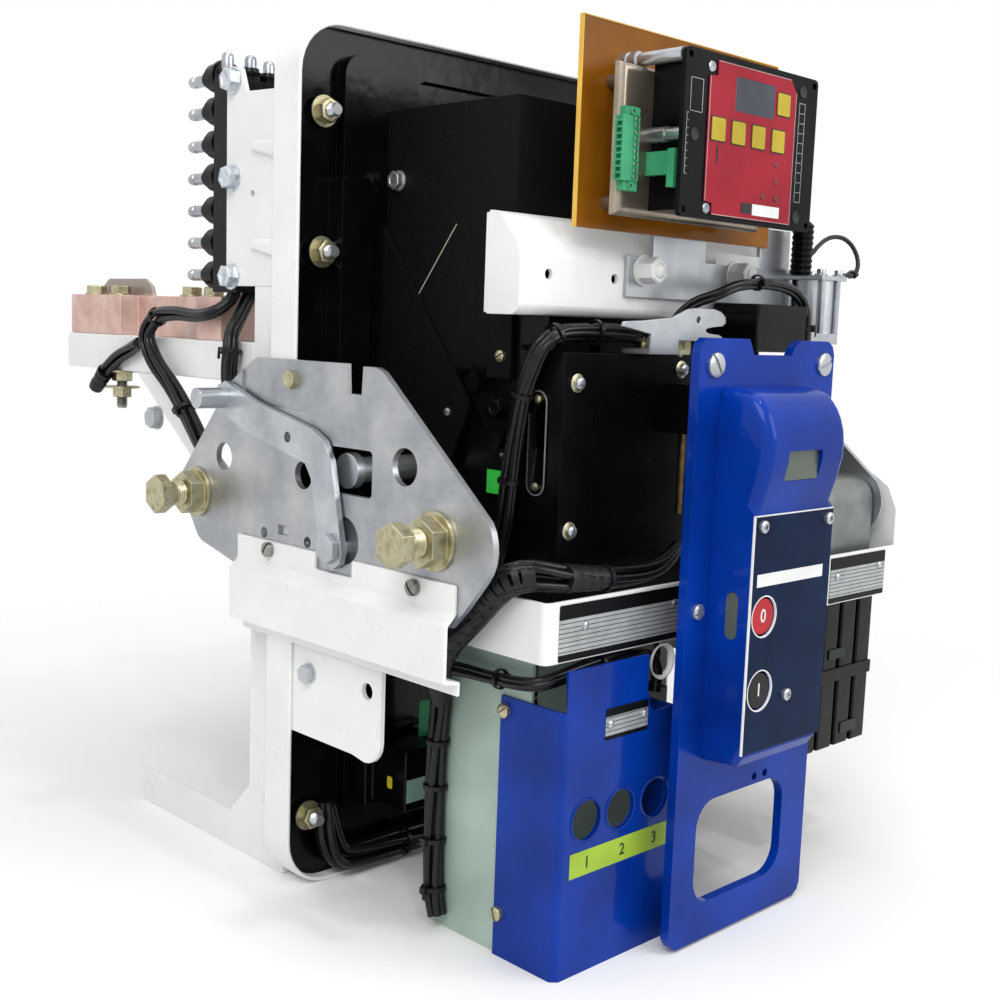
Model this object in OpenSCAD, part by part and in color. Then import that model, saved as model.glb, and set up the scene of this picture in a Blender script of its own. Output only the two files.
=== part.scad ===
// Draw-out low-voltage power circuit breaker, as used in a substation's
// switchgear cubicle. Millimetres, +Z up, front (operating face) towards -Y.
// Origin: middle of the back pan's front lip, at floor level.

/* [Back pan] */
// width of the pressed steel back pan
pan_w = 378; // [340:1:420]
// height of the back pan
pan_h = 537; // [480:1:600]
// depth of the back pan, lip to back
pan_d = 26; // [18:1:40]
// corner radius of the back pan
pan_r = 32; // [20:1:50]
// sheet thickness of the back pan
pan_t = 2.5; // [2:0.5:4]

/* [Side plates and rails] */
// thickness of the draw-out side plates
side_t = 4; // [3:0.5:6]
// stand-out of the racking bolts from the side plates
bolt_out = 32; // [24:1:45]
// radius of the racking bolts' shanks
bolt_r = 7.5; // [6:0.5:10]
// stand-off of the rails' outer band from the side plates
rail_out = 8.5; // [6:0.5:14]
// sheet thickness of the rails
rail_t = 2.5; // [2:0.5:4]
// radius of the interlock lever's pivot
pivot_r = 5; // [4:0.5:7]
// radius of the racking shaft
shaft_r = 7.5; // [6:0.5:9]
// thickness of the interlock lever
lever_t = 4; // [3:0.5:6]

/* [Rear frame and terminals] */
// distance of the rear legs' outer faces inside the pan's sides
leg_inset = 15; // [10:1:30]
// sheet thickness of the rear legs, shelf and brackets
leg_t = 3; // [2:0.5:5]
// reach of the feet behind the pan
foot_len = 178; // [140:1:200]
// height of the rear legs
leg_h = 380; // [372:1:400]
// height of the terminal shelf's top
shelf_z = 344; // [330:1:350]
// end of the terminal shelf behind the pan's lip
shelf_end = 322; // [300:1:350]
// thickness of the copper terminals
copper_t = 29; // [20:1:36]
// distance between the poles at the terminals
pole_pitch = 141; // [130:1:145]
// distance between the secondary disconnect pins
disc_pitch = 21.6; // [18:0.1:22]

/* [Mechanism] */
// distance of the mechanism frame's outer faces inside the pan's sides
frame_inset = 72; // [60:1:80]
// sheet thickness of the mechanism frame and the arc barrier
frame_t = 3; // [2:0.5:4]
// depth of the mechanism frame in front of the moulding
frame_d = 120; // [110:1:130]
// height of the tray's floor, underside
tray_z = 181; // [175:1:190]
// front of the mechanism tray before the pan's lip
tray_y = 187; // [180:1:200]
// height of the cross beam's underside
beam_z = 367; // [360:1:380]

/* [Covers and operating panel] */
// stand-out of the lower cover from the tray
cover_out = 5; // [3:1:12]
// height of the lower cover's main part
cover_h = 154; // [140:1:165]
// stand-out of the operating panel from the tray
panel_out = 26; // [20:1:40]
// thickness of the operating panel's plate
panel_t = 6; // [4:0.5:8]
// depth of the panel's raised housing
housing_d = 27; // [22:1:35]
// wall of the raised housing
housing_t = 3; // [2:0.5:4]
// width of the handle opening
handle_w = 88; // [76:1:100]

/* [Push buttons] */
// radius of the trip and close buttons
button_r = 10.6; // [8:0.1:11]
// gap round a button in the housing
button_gap = 1; // [0.5:0.1:2]
// radius of the buttons' stems
stem_r = 4; // [3:0.5:6]
// button travel
travel = 4; // [2:0.5:6]

/* [Trip unit] */
// front of the trip unit's mounting sheet before the pan's lip
board_y = 146; // [142:1:150]
// thickness of the amber mounting sheet
board_t = 3; // [2:0.5:5]
// depth of the trip unit's metal base
base_d = 20; // [14:1:40]
// depth of the trip unit's black case
case_d = 27; // [12:1:35]

/* [Hidden] */
$fn = 48;
fit = 0.05;
hw = pan_w / 2;
sx = hw + side_t;
lx = hw - leg_inset;
li = lx - leg_t;
fx = hw - frame_inset;
fi = fx - frame_t;
up = pan_h - 537;
disc_z = shelf_z + copper_t + 3;
plate_y = board_y - board_t;
floor_z = tray_z + 3;
cover_y = tray_y + cover_out;
panel_y = tray_y + panel_out;
front_y = panel_y + housing_d;
base_y = board_y + base_d;
case_y = base_y + case_d;
box_y = frame_d + 35;
bx0 = -118;
shaft_y = -50;
shaft_z = 229;
btn_x = -37;
btn_z = [203, 160];
poles = [-pole_pitch, 0, pole_pitch];
ct_x = [-111, 0, 111];

// extrusions of a profile along one axis, boxes and cylinders by their ends
module px(x0, x1) translate([x0, 0, 0]) rotate([90, 0, 90]) linear_extrude(x1 - x0) children();
module py(y0, y1) translate([0, y1, 0]) rotate([90, 0, 0]) linear_extrude(y1 - y0) children();
module pz(z0, z1) translate([0, 0, z0]) linear_extrude(z1 - z0) children();
module bx(x0, x1, y0, y1, z0, z1) translate([x0, y0, z0]) cube([x1 - x0, y1 - y0, z1 - z0]);
module cx(x0, x1, y, z, r) translate([x0, y, z]) rotate([0, 90, 0]) cylinder(r = r, h = x1 - x0);
module cy(y0, y1, x, z, r) translate([x, y0, z]) rotate([-90, 0, 0]) cylinder(r = r, h = y1 - y0);
module cz(z0, z1, x, y, r) translate([x, y, z0]) cylinder(r = r, h = z1 - z0);
module hx(x0, x1, y, z, r) translate([x0, y, z]) rotate([0, 90, 0]) cylinder(r = r, h = x1 - x0, $fn = 6);
module both() { children(); mirror([1, 0, 0]) children(); }
function arc(cx, cy, r, a0, a1, n) = [for (i = [0:n]) [cx + r * cos(a0 + (a1 - a0) * i / n), cy + r * sin(a0 + (a1 - a0) * i / n)]];
function rr(x0, x1, y0, y1, r, n = 6) = concat(arc(x1 - r, y0 + r, r, -90, 0, n), arc(x1 - r, y1 - r, r, 0, 90, n),
    arc(x0 + r, y1 - r, r, 90, 180, n), arc(x0 + r, y0 + r, r, 180, 270, n));
module rrect(x0, x1, y0, y1, r, n = 6) polygon(rr(x0, x1, y0, y1, r, n));

// a wire bundle: a tube with 8 sides swept along points [x, y, z, radius]
function unit(v) = v / norm(v);
function dir(p, i) = let (n = len(p) - 1, a = p[max(i - 1, 0)], b = p[min(i + 1, n)]) unit([b[0] - a[0], b[1] - a[1], b[2] - a[2]]);
function ring(p, i, ref) = let (t = dir(p, i), u = unit(cross(t, ref)), v = cross(u, t))
    [for (k = [0:7]) let (a = 45 * k + 22.5) [p[i][0], p[i][1], p[i][2]] + p[i][3] * (cos(a) * u + sin(a) * v)];
module tube(p, ref = [0.9, -0.2, 0.1]) {
    n = len(p);
    pts = [for (i = [0:n - 1]) each ring(p, i, ref)];
    walls = [for (i = [0:n - 2], k = [0:7]) [i * 8 + k, (i + 1) * 8 + k, (i + 1) * 8 + (k + 1) % 8, i * 8 + (k + 1) % 8]];
    polyhedron(pts, concat(walls, [[for (k = [0:7]) k]], [[for (k = [7:-1:0]) (n - 1) * 8 + k]]));
}

white = [0.88, 0.87, 0.83];
black = [0.06, 0.06, 0.06];
dark = [0.12, 0.12, 0.12];
zinc = [0.66, 0.66, 0.64];
blue = [0.05, 0.14, 0.56];

module back_pan() color(white) difference() {
    py(0, pan_d) rrect(-hw, hw, 0, pan_h, pan_r, 8);
    py(-1, pan_d - pan_t) rrect(-hw + pan_t, hw - pan_t, pan_t, pan_h - pan_t, pan_r - pan_t, 8);
}

// black base: flange in the pan, raised body with rounded pads, three pole pedestals
module base_moulding() color(black) {
    py(8, pan_d - pan_t) rrect(-hw + pan_t, hw - pan_t, pan_t, pan_h - pan_t, pan_r - pan_t, 8);
    difference() {
        py(0, 8) rrect(-hw + 34, hw - 34, 130, pan_h - 16, 14);
        py(-1, 5) rrect(-98, 98, pan_h - 47, pan_h - 25, 7);
    }
    both() py(-6, 8) rrect(-hw + 29, -hw + 52, 150, 447, 5);
    for (x = ct_x) py(0, 8) rrect(x - 34, x + 34, 44, 126, 6);
    for (x = [-pole_pitch / 2, pole_pitch / 2]) py(2, 8) rrect(x - 7, x + 7, 28, 126, 3);
}

module side_plate_2d() difference() {
    polygon(concat([[126, 250], [101, 216], [96, 213], [40, 200], [-150, 200]], [[-160, 210]],
        arc(-155, 245, 26, 220, 145, 6), [[-93, 329], [-88, 333], [-82, 335], [-71, 335], [-70, 319], [-56, 319], [-55, 336],
        [36, 336], [44, 332], [66, 317]]));
    translate([70, 271]) circle(9);
    translate([-16, 268]) circle(8.5);
    translate([-109, 282]) circle(10.5);
    translate([24, 228]) circle(3.4);
    translate([-21, 228]) circle(3.4);
    translate([-1, 229]) square([10, 6]);
    translate([shaft_y - 6, shaft_z + 5]) circle(14);
    polygon(rr(-81, -39, 261, 288, 3, 3));
}
module side_plate(s) mirror([s, 0, 0]) difference() {
    px(-sx, -hw) side_plate_2d();
    bx(-sx - 1, -sx + 1.5, -17, 50, 306, 340);
}
module side_plate_left() color(zinc) side_plate(0);
module side_plate_right() color(zinc) side_plate(1);

module racking_bolts(s) color([0.72, 0.66, 0.45]) mirror([s, 0, 0]) for (y = [-136, 101]) {
    cx(-sx - 2.5, -sx, y, 245, bolt_r + 9);
    hx(-sx - 12.5, -sx - 2.5, y, 245, bolt_r + 6.5);
    cx(-sx - bolt_out + 8, -sx - 12.5, y, 245, bolt_r);
    hx(-sx - bolt_out, -sx - bolt_out + 8, y, 245, bolt_r + 5.2);
}
module racking_bolts_left() racking_bolts(0);
module racking_bolts_right() racking_bolts(1);

module interlock_lever() color([0.72, 0.73, 0.74]) {
    difference() {
        px(-sx - 1 - lever_t, -sx - 1) polygon([[72, 300], [74.5, 309], [70, 317], [62, 320], [30, 309.5], [-30, 297], [-42, 291], [-49, 280],
            [-61, 228], [-59, 221], [-53, 217], [-46, 217], [-40, 222], [-30, 268], [-24, 276], [37, 289], [64, 299]]);
        cx(-sx - 3 - lever_t, -sx, -6, 290, 3.2);
        cx(-sx - 3 - lever_t, -sx, shaft_y, shaft_z, pivot_r + fit);
    }
    cx(-sx - 1 - lever_t - 19, -sx - 1 - lever_t, 65, 309, 6.5);
}
module lever_shaft() color([0.62, 0.63, 0.64]) {
    hx(-sx - 1.2 - lever_t - 4, -sx - 1.2 - lever_t, shaft_y, shaft_z, pivot_r + 4);
    cx(-sx - 1.2 - lever_t, -hw, shaft_y, shaft_z, pivot_r);
    cx(-hw, -hw + 3, shaft_y - 5, shaft_z + 4, 16.5);
}
// racking shaft's two ends, seen through the windows of the side plates
module racking_shaft() color([0.72, 0.73, 0.74]) both() {
    cx(-hw + 0.5, -hw + 7, -52, 274, shaft_r + 3);
    cx(-hw + 7, -fx, -52, 274, shaft_r);
}

module rail(s) color(white) mirror([s, 0, 0]) difference() {
    o = -sx - rail_out;
    py(-155, 50) polygon([[-sx, 224], [-sx - rail_t, 224], [-sx - rail_t, 209], [o, 203], [o, 171], [-sx + 2, 169], [-sx + 2, 163],
        [-hw, 163], [-hw, 171], [-sx - 6, 173.5], [o + rail_t, 173.5], [o + rail_t, 202], [-sx, 208]]);
    bx(-sx - 3, -sx + 1, -67, -32, 214, 225);
}
module rail_left() rail(0);
module rail_right() rail(1);

module rear_leg(s) color(white) mirror([s, 0, 0]) {
    foot = pan_d + foot_len;
    px(-lx, -li) polygon([[pan_d, 0], [foot, 0], [foot, 25], [90, 25], [66, 49], [66, leg_h], [pan_d, leg_h]]);
    bx(-li, -li + 21, pan_d, foot, 0, leg_t);
    bx(-li, -li + 21, 66 - leg_t, 66, 46, shelf_z - 26);
}
module rear_leg_left() rear_leg(0);
module rear_leg_right() rear_leg(1);

// brackets that carry the side plates on the moulding, with two spacers each
module pan_bracket(s) color(white) mirror([s, 0, 0]) {
    difference() {
        px(-hw + 2.5, -hw + 5.5) polygon(concat([[8, 106], [-60, 106]], arc(-72, 118, 14, 270, 180, 5), [[-86, 214], [8, 214]]));
        cx(-hw, -hw + 8, -73, 147, 5);
    }
    for (y = [-70, -14]) cx(-hw, -hw + 2.5, y, 207, 5);
}
module pan_bracket_left() pan_bracket(0);
module pan_bracket_right() pan_bracket(1);

// channel with its open side down, lying on the legs' shoulders
module terminal_shelf() color(white) difference() {
    px(-lx, lx) polygon(concat([[66, shelf_z - 26], [66, shelf_z]], arc(shelf_end - 5, shelf_z - 5, 5, 90, 0, 4), [[shelf_end, shelf_z - 26]]));
    bx(-li, li, 60, shelf_end - leg_t, shelf_z - 34, shelf_z - leg_t);
}

module terminal(x) color([0.80, 0.55, 0.45]) {
    pz(shelf_z, shelf_z + copper_t) polygon([[x - 33, 105], [x + 33, 105], [x + 33, shelf_end - 6], [x - 33, shelf_end - 6], [x - 33, shelf_end - 82],
        [x - 20, shelf_end - 86], [x - 20, 136], [x - 33, 136]]);
    px(x - 10, x - 7) polygon([[shelf_end - 90, shelf_z + copper_t], [shelf_end - 8, shelf_z + copper_t], [shelf_end - 14, shelf_z + copper_t + 8],
        [shelf_end - 22, shelf_z + copper_t + 13], [shelf_end - 76, shelf_z + copper_t + 13], [shelf_end - 86, shelf_z + copper_t + 8]]);
}
module terminal_left() terminal(poles[0]);
module terminal_centre() terminal(poles[1]);
module terminal_right() terminal(poles[2]);

module shelf_braces() color(white) both() px(-lx, -li)
    polygon([[66, 240], [66, 208], [216, shelf_z - 26], [186, shelf_z - 26]]);

// pressed bracket of the secondary disconnects, on top of the left leg
module disconnect_bracket() color(white) {
    difference() {
        union() {
            px(-lx, -li) polygon([[pan_d, leg_h], [66, leg_h], [66, disc_z + 125.5], [pan_d, disc_z + 124]]);
            px(-lx, -li) polygon([[66, disc_z + 4], [94, disc_z + 4], [99, disc_z + 9], [100, disc_z + 136], [97, disc_z + 140], [84, disc_z + 141],
                [78, disc_z + 126], [66, disc_z + 125.5]]);
        }
        cx(-lx - 1, -li + 1, 70, disc_z + 62, 2.5);
    }
    for (z = [30, 91]) translate([0, 0, disc_z + z]) px(-lx - 3, -lx) polygon([[34, -10], [68, -3], [70, 0], [66, 4], [34, 2]]);
}
module disconnect_block() color(black) {
    bx(-li, -li + 22, 92, 120, disc_z, disc_z + 127);
    bx(-li, -li + 9, 102, 120, disc_z + 127, disc_z + 139);
    for (i = [0:6]) {
        z = disc_z + 12 + i * disc_pitch;
        cy(120, 134, -li + 11, z, 9.6);
        cy(134, 141, -li + 11, z, 6.5);
    }
}
module disconnect_block_top() color(black) {
    bx(-li + 9, -li + 13 + 7 * 18.9, 106, 119, disc_z + 127, disc_z + 139);
    bx(-li + 22, -li + 13 + 7 * 18.9, 119, 132, disc_z + 127, disc_z + 139);
    for (i = [0:6]) cz(disc_z + 139, disc_z + 145, -li + 23 + i * 18.9, i == 0 ? 112.5 : 119, i == 0 ? 6.4 : 8);
}
module disconnect_pins() color([0.75, 0.76, 0.78]) {
    for (i = [0:6]) cy(141, 166, -li + 11, disc_z + 12 + i * disc_pitch, 4);
    for (i = [0:6]) cz(disc_z + 145, disc_z + 156, -li + 23 + i * 18.9, i == 0 ? 112.5 : 119, 4);
    cz(disc_z + 139, disc_z + 155, -li + 4.4, 111, 3.6);
}

// side sheets of the mechanism frame: foot on the tray, ear under the cross beam
module frame_sheet() px(-fx, -fi) difference() {
    polygon([[0, floor_z], [-frame_d, floor_z], [-frame_d, beam_z - 17], [-frame_d - 18, beam_z - 17], [-frame_d - 18, beam_z], [-95, beam_z],
        [-95, 330], [-30, 330], [0, 318]]);
    translate([-97, 208]) circle(7);
    translate([-24, 300]) circle(6);
}
module mechanism_frame_left() color(dark) frame_sheet();
module mechanism_frame_right() color(dark) mirror([1, 0, 0]) frame_sheet();
module mechanism_cross() color(dark) {
    bx(-fi, fi, -frame_d + 17, -frame_d + 20, floor_z, 330);
    both() bx(-hw + 5.5, -fx, -60, -30, 200, 204);
    bx(-fi, fi, -60, 0, 196, 200);
}
// arms and pins on the left side sheet, between the barrier and the side box
module mechanism_linkage() color([0.2, 0.2, 0.21]) {
    px(-fx - 4, -fx) polygon([[-86, 334], [-92, 322], [-112, 300], [-104, 288], [-84, 318], [-76, 330]]);
    cx(-fx - 9, -fx - 4, -89, 327, 5.5);
    cx(-fx - 8, -fx - 4, -107, 294, 6);
    px(-fx - 2, -fx) polygon([[-64, 262], [-70, 250], [-108, 228], [-112, 236], [-80, 262]]);
    cx(-fx - 6, -fx - 2, -72, 257, 5);
}

module arc_chutes() color([0.16, 0.15, 0.14]) for (x = [-76, 0, 76]) bx(x - 33, x + 33, -105, 0, 340, 480 + up);

// bent insulating sheet round the arc chutes, cut off slantwise at the lower rear
module arc_barrier() color(black) {
    both() px(-fx - 4, -fx - 4 + frame_t) polygon([[0, 490 + up], [-115, 490 + up], [-115, 330], [-95, 330], [-95, 337], [-66, 337], [0, 420]]);
    bx(-fx - 4 + frame_t, fx + 4 - frame_t, -115, -112, beam_z, 490 + up);
}

// slanting shields outside the barrier, with a hole for the racking shaft
module barrier_shields() color(black) both() difference() {
    px(-fx - 4 - frame_t, -fx - 4) polygon([[0, 420], [-82, 317], [-84, 311], [-68, 276], [-40, 232], [0, 232]]);
    cx(-fx - 5 - frame_t, -fx - 3, -52, 274, shaft_r + 1);
    for (p = [[-66, 308], [-54, 289]]) cx(-fx - 5 - frame_t, -fx - 3, p[0], p[1], 1.8);
}

module cross_beam() color(white) {
    difference() {
        px(-141, 141) polygon([[-115, beam_z], [-136, beam_z], [-140, beam_z + 4], [-140, 403], [-122, 424], [-115, 424]]);
        px(-138.5, 138.5) polygon([[-110, beam_z + 2.5], [-135, beam_z + 2.5], [-137.5, beam_z + 5], [-137.5, 402], [-121, 421], [-110, 421]]);
        for (x = [-118, -62, 118, 62]) cy(-145, -130, x, 390, 3);
    }
}

module mechanism_tray() color(white) {
    bx(-158, 207, -tray_y, -tray_y + 2.5, tray_z, 215);
    bx(-158, -155.5, -tray_y + 2.5, -frame_d + 20, tray_z, 215);
    px(204.5, 207) polygon([[-tray_y + 2.5, tray_z], [-tray_y + 2.5, 240], [-177, 256], [-165, 264], [-152, 264], [-152, tray_z]]);
    pz(tray_z, floor_z) polygon([[-155.5, -tray_y + 2.5], [204.5, -tray_y + 2.5], [204.5, -183], [hw, -183], [hw, -frame_d + 20], [-fx - 1, -frame_d + 20], [-fx - 1, -frame_d + 8], [-155.5, -frame_d + 8]]);
    bx(sx + 2, 204.5, -164, -152, 261.5, 264);
}

// black side box of the mechanism: bent cover with folded edges
module mechanism_box() color(black) {
    bx(bx0, -5, -box_y, -frame_d, 226, 347);
    cx(bx0 - 1.5, bx0, -frame_d - 12, 318, 6);
    px(bx0 - 1, bx0) polygon(concat(arc(-frame_d - 17, 318, 6.5, 0, 180, 8), arc(-frame_d - 17, 272, 6.5, 180, 360, 8)));
}
module motor_cover() color([0.7, 0.71, 0.72]) px(120, 188)
    polygon(concat([[-121, floor_z], [-176, floor_z]], arc(-158, 246, 18, 180, 90, 6), [[-121, 264]]));

// folded blue cover with a stepped top and three viewing holes
module lower_cover() color(blue) {
    difference() {
        py(-cover_y, -cover_y + 2) polygon(concat([[-146, 0], [-50, 0], [-50, cover_h - 11]], arc(-66, cover_h - 4, 8, 270, 180, 4),
            [[-74, cover_h], [-76, cover_h], [-76, tray_z - 4], [-144, tray_z - 4], [-144, cover_h], [-146, cover_h]]));
        for (x = [-125, -96, -66]) cy(-cover_y - 1, -cover_y + 3, x, 90, 11.5);
    }
    bx(-146, -144, -cover_y + 2, -143, 0, cover_h);
    bx(-52, -50, -cover_y + 2, -143, 0, cover_h - 11);
}
module side_panels() color([0.52, 0.60, 0.56]) {
    px(-144, -141.5) polygon([[-cover_y + 27, 0], [-84, 0], [-84, tray_z], [-cover_y + 27, tray_z]]);
    px(-54.5, -52) polygon([[-cover_y + 27, 0], [-84, 0], [-84, tray_z], [-cover_y + 27, tray_z]]);
}

module current_sensors() color(black) for (x = ct_x) {
    bx(x - 20, x + 20, -45, -12, 52, 92);
    bx(x - 26, x + 26, -12, 0, 48, 96);
}

// four stacked contact decks under the tray
module auxiliary_switch() color(black) {
    for (i = [0:3]) bx(103 + i * 21.5, 121 + i * 21.5, -182, -110, 76, tray_z);
    for (i = [0:2]) bx(121 + i * 21.5, 124.5 + i * 21.5, -176, -116, 82, tray_z);
}

module panel_plate() color(blue) difference() {
    hx0 = -7 - handle_w / 2;
    py(-panel_y, -panel_y + panel_t) polygon(concat([[-72, 10], [-69, 5], [-64, 2], [56, 2], [61, 5], [63, 10], [63, 350], [61, 355], [56, 358], [26, 358]],
        arc(22, 352, 3, 90, 180, 2), [[17, 349], [-21, 349]], [[-26, 358], [-66, 358], [-70, 355], [-72, 350]]));
    py(-panel_y - 1, -panel_y + panel_t + 1) rrect(hx0, hx0 + handle_w, 25, 88, 16);
    for (z = btn_z) cy(-panel_y - 1, -panel_y + panel_t + 1, btn_x, z, stem_r + fit);
    cy(-panel_y - 1, -panel_y + panel_t + 1, 5, 93, 2.4);
    cy(-panel_y - 1, -panel_y + panel_t + 1, 16, 93, 2.4);
}
module panel_supports() color(dark) {
    bx(-20, 37, -panel_y + panel_t, -tray_y, 188, 208);
    bx(-28, -8, -panel_y + panel_t, -box_y, 300, 330);
}

// profile of the raised housing, outer (i = 0) or inner (i = wall)
function nose(i) = [[-panel_y + (i > 0 ? 1 : 0), 331 - i], [-panel_y - 9, 331 - i], [-front_y + 8 + i * 0.4, 329 - i], [-front_y + 4.2 + i * 0.5, 326.8 - i * 0.8],
    [-front_y + 1 + i * 0.6, 323.6 - i * 0.6], [-front_y - 2.4 + i * 0.8, 319.2 - i * 0.45], [-front_y - 5 + i * 0.9, 314 - i * 0.3], [-front_y - 7.1 + i * 0.95, 307.4 - i * 0.15],
    [-front_y - 8 + i, 300], [-front_y - 7.8 + i, 292], [-front_y - 6 + i, 284], [-front_y - 4.2 + i, 277], [-front_y - 2 + i, 270], [-front_y - 0.6 + i, 265.6], [-front_y + i, 262],
    [-front_y + i, 122], [-front_y + 4 + i * 0.6, 116 + i], [-panel_y + (i > 0 ? 1 : 0), 114 + i]];
module panel_housing() color(blue) difference() {
    px(-51, 28) polygon(nose(0));
    px(-51 + housing_t, 28 - housing_t) polygon(nose(housing_t));
    for (z = btn_z) cy(-front_y - 10, -front_y + housing_t + 4, btn_x, z, button_r + button_gap);
    py(-front_y - 12, -front_y + 2) rrect(-32, 2, 280, 297, 2, 3);
    px(-52, -50 + housing_t) rrect(-front_y + 9, -front_y + 12, 190, 217, 1.4, 3);
}
// spring indicator behind the housing's window
module panel_indicator() color(dark) {
    bx(-33, 5, -front_y + 14, -panel_y, 278, 305);
    py(-front_y + 12, -front_y + 14) rrect(-30, 0, 280, 297, 2, 3);
}
module panel_legend() color([0.05, 0.08, 0.25]) difference() {
    py(-front_y - 1.2, -front_y) polygon([[-51, 124], [28, 124], [28, 261], [-51, 261]]);
    for (z = btn_z) cy(-front_y - 10, -front_y + 2, btn_x, z, button_r + button_gap);
}

module button(z) {
    cy(-front_y - 0.5, -panel_y - travel - 11, btn_x, z, button_r);
    cy(-panel_y - travel - 11, -panel_y + panel_t + 7, btn_x, z, stem_r);
}
module trip_button() color([0.75, 0.08, 0.1]) button(btn_z[0]);
module close_button() color(black) button(btn_z[1]);

module insulating_sheet() color([0.72, 0.42, 0.08]) py(-board_y, -board_y + board_t) translate([-104, 417]) square([186, 115]);
module trip_unit_bracket() color(zinc) {
    bx(-54, 114, -plate_y, -140, 380, 404);
    bx(-31, 20, -plate_y, -140, 404, 440);
    bx(78, 112, -plate_y, -140, 404, 430);
}
// metal base with raised rim, standing on four spacers
module trip_unit_base() color([0.7, 0.68, 0.66]) {
    bx(-93, 44, -base_y, -base_y + 6, 424, 507);
    for (x = [-80, 35], z = [432, 499]) cy(-base_y + 6, -board_y, x, z, 4);
}
module trip_unit_case() color(black) {
    bx(-66, 52, -case_y + 3, -base_y, 428, 512);
    difference() {
        py(-case_y, -case_y + 3) rrect(-72, 57, 424, 515, 3, 3);
        for (x = [-68, 53], z = [428, 511]) cy(-case_y - 1, -case_y + 4, x, z, 2);
    }
}
module trip_unit_face() color([0.75, 0.1, 0.15]) difference() {
    py(-case_y - 1, -case_y) polygon([[-44, 427], [33, 427], [33, 504], [27, 511], [-44, 511], [-44, 503], [-51, 502], [-51, 434], [-44, 433]]);
    bx(-27, 11, -case_y - 2, -case_y - 0.4, 486, 505);
}
// ten-way screw plug and its header on the left of the trip unit
module terminal_plugs() color([0.2, 0.65, 0.35]) {
    difference() {
        union() {
            bx(-97.3, -82, -base_y - 6, -base_y, 442, 477);
            bx(-94, -82, -base_y - 4.6, -base_y, 437, 482);
        }
        for (i = [0:9]) bx(-98.3, -94.8, -base_y - 5, -base_y - 1.2, 443 + i * 3.5, 445.5 + i * 3.5);
        bx(-89.4, -81, -base_y - 7, -base_y - 5, 441, 478);
    }
    bx(-70, -66, -case_y + 9, -base_y, 447, 460);
    bx(-71, -66, -case_y + 6, -case_y + 11, 440, 461);
}

module trip_actuator() color(zinc) {
    bx(107, 137, -plate_y - 30, -plate_y, 398, 401);
    cz(363, 398, 122, -plate_y - 15, 13);
    bx(98, 130, -plate_y - 30, -plate_y, 356, 363);
    bx(110, 134, -plate_y - 1.5, -plate_y, 363, 398);
}
// hooked catch plate in front of the side box
module catch_plate() color(zinc) {
    py(-box_y - 13, -box_y - 11) difference() {
        polygon([[-60, 347], [-34, 347], [-34, 355.4], [6, 355.2], [8.6, 356.4], [8.4, 358.4], [5, 359.6], [-5, 360.2], [-8.4, 361.4], [-8, 363], [-2, 364], [8, 364.8],
            [11.4, 367], [10.6, 370.6], [6, 373.6], [-1, 375], [-20, 375], [-27, 374], [-34, 371.2], [-42, 368.6], [-66, 366.4], [-84, 365.4], [-85, 362.4], [-60, 358.6]]);
        translate([-16, 368]) circle(2);
    }
    bx(-60, -34, -box_y - 11, -box_y + 9, 347, 350);
}
module relay_block() color(black) {
    bx(30, 84, -plate_y - 35, -plate_y, 350, 379);
    bx(34, 80, -plate_y, -140, 371, 379);
}

// black wire bundles, held by the frame all the way
loom_top = [[-22, -148, 351.5, 3], [-30, -147.5, 354.6, 4.2], [-44, -147, 356.6, 4.6], [-62, -146.4, 358.5, 6], [-84, -146, 358.6, 6.3], [-103, -145.4, 358.2, 6.2],
    [-115, -145, 356.4, 6], [-123.8, -142.6, 350, 5.9], [-125.4, -137, 338, 5.8], [-125.2, -130, 322, 5.8], [-125.2, -125, 297, 5.8], [-125.2, -122, 272, 5.8], [-125.2, -119, 246, 5.8],
    [-125.2, -112, 222, 5.8], [-125.2, -104.5, 200, 5.6], [-125.2, -101, 182, 5.6], [-126, -96, 166, 5.6], [-127, -92, 150, 5.6]];
loom_low = [[-30, -172, 233, 4], [-46, -176, 226, 5], [-68, -179, 222, 5.6], [-104, -179.4, 222.4, 6.6], [-136, -177.8, 225.4, 7.8], [-155, -172.4, 228, 9],
    [-164, -166, 226, 9.4], [-169, -156, 218, 10], [-170, -142, 204, 10.4], [-170.2, -122, 184, 10.2], [-164, -107, 165, 9.4], [-152.4, -98, 142, 7.4],
    [-151.6, -95, 116, 7.2], [-151.6, -94, 88, 7.2], [-151.6, -94, 55, 7.2], [-151.6, -95, 25, 7], [-151.6, -99, 9, 6.6]];
loom_front = [[-58, -183, 150, 3.5], [-56.5, -182, 163, 3.6], [-62, -180, 171.5, 4.2], [-80, -179.6, 174.6, 4.8], [-105, -179.4, 173.8, 4.8], [-126, -178.8, 171.6, 4.8],
    [-140, -177.2, 169.2, 4.8], [-148, -172, 167.2, 4.8], [-150.4, -162, 165.8, 4.8], [-150.4, -146, 164.6, 4.8], [-151, -128, 164, 4.8], [-154, -116, 164.4, 4.8], [-161, -108.6, 165, 4.6]];
loom_foot = [[-158, 1.6, 52, 6], [-157.6, -1.4, 32, 9], [-150, -2.4, 16, 9], [-134, -2.4, 12.2, 9], [-96, -2.4, 12.2, 9], [-50, -2.4, 12.2, 8.6], [0, -1, 11.4, 8.4],
    [60, -1, 11.4, 8.4]];
loom_rear = [[-180.4, 120, 356, 4.4], [-181.6, 150, 362, 5.2], [-182.6, 172, 358, 5.8], [-182.6, 186, 345, 6], [-182.2, 176, 328, 6.2], [-181, 156, 312, 6],
    [-180.6, 138, 296, 6], [-180.6, 118, 276, 6], [-180.6, 100, 258, 6], [-180.6, 84, 240, 6]];
loom_branch = [[-181, 200, 339, 4.6], [-180, 212, 335, 5.4], [-179.6, 232, 328, 5.4], [-179.6, 252, 316, 5.2], [-179.8, 266, 304, 5]];
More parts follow.
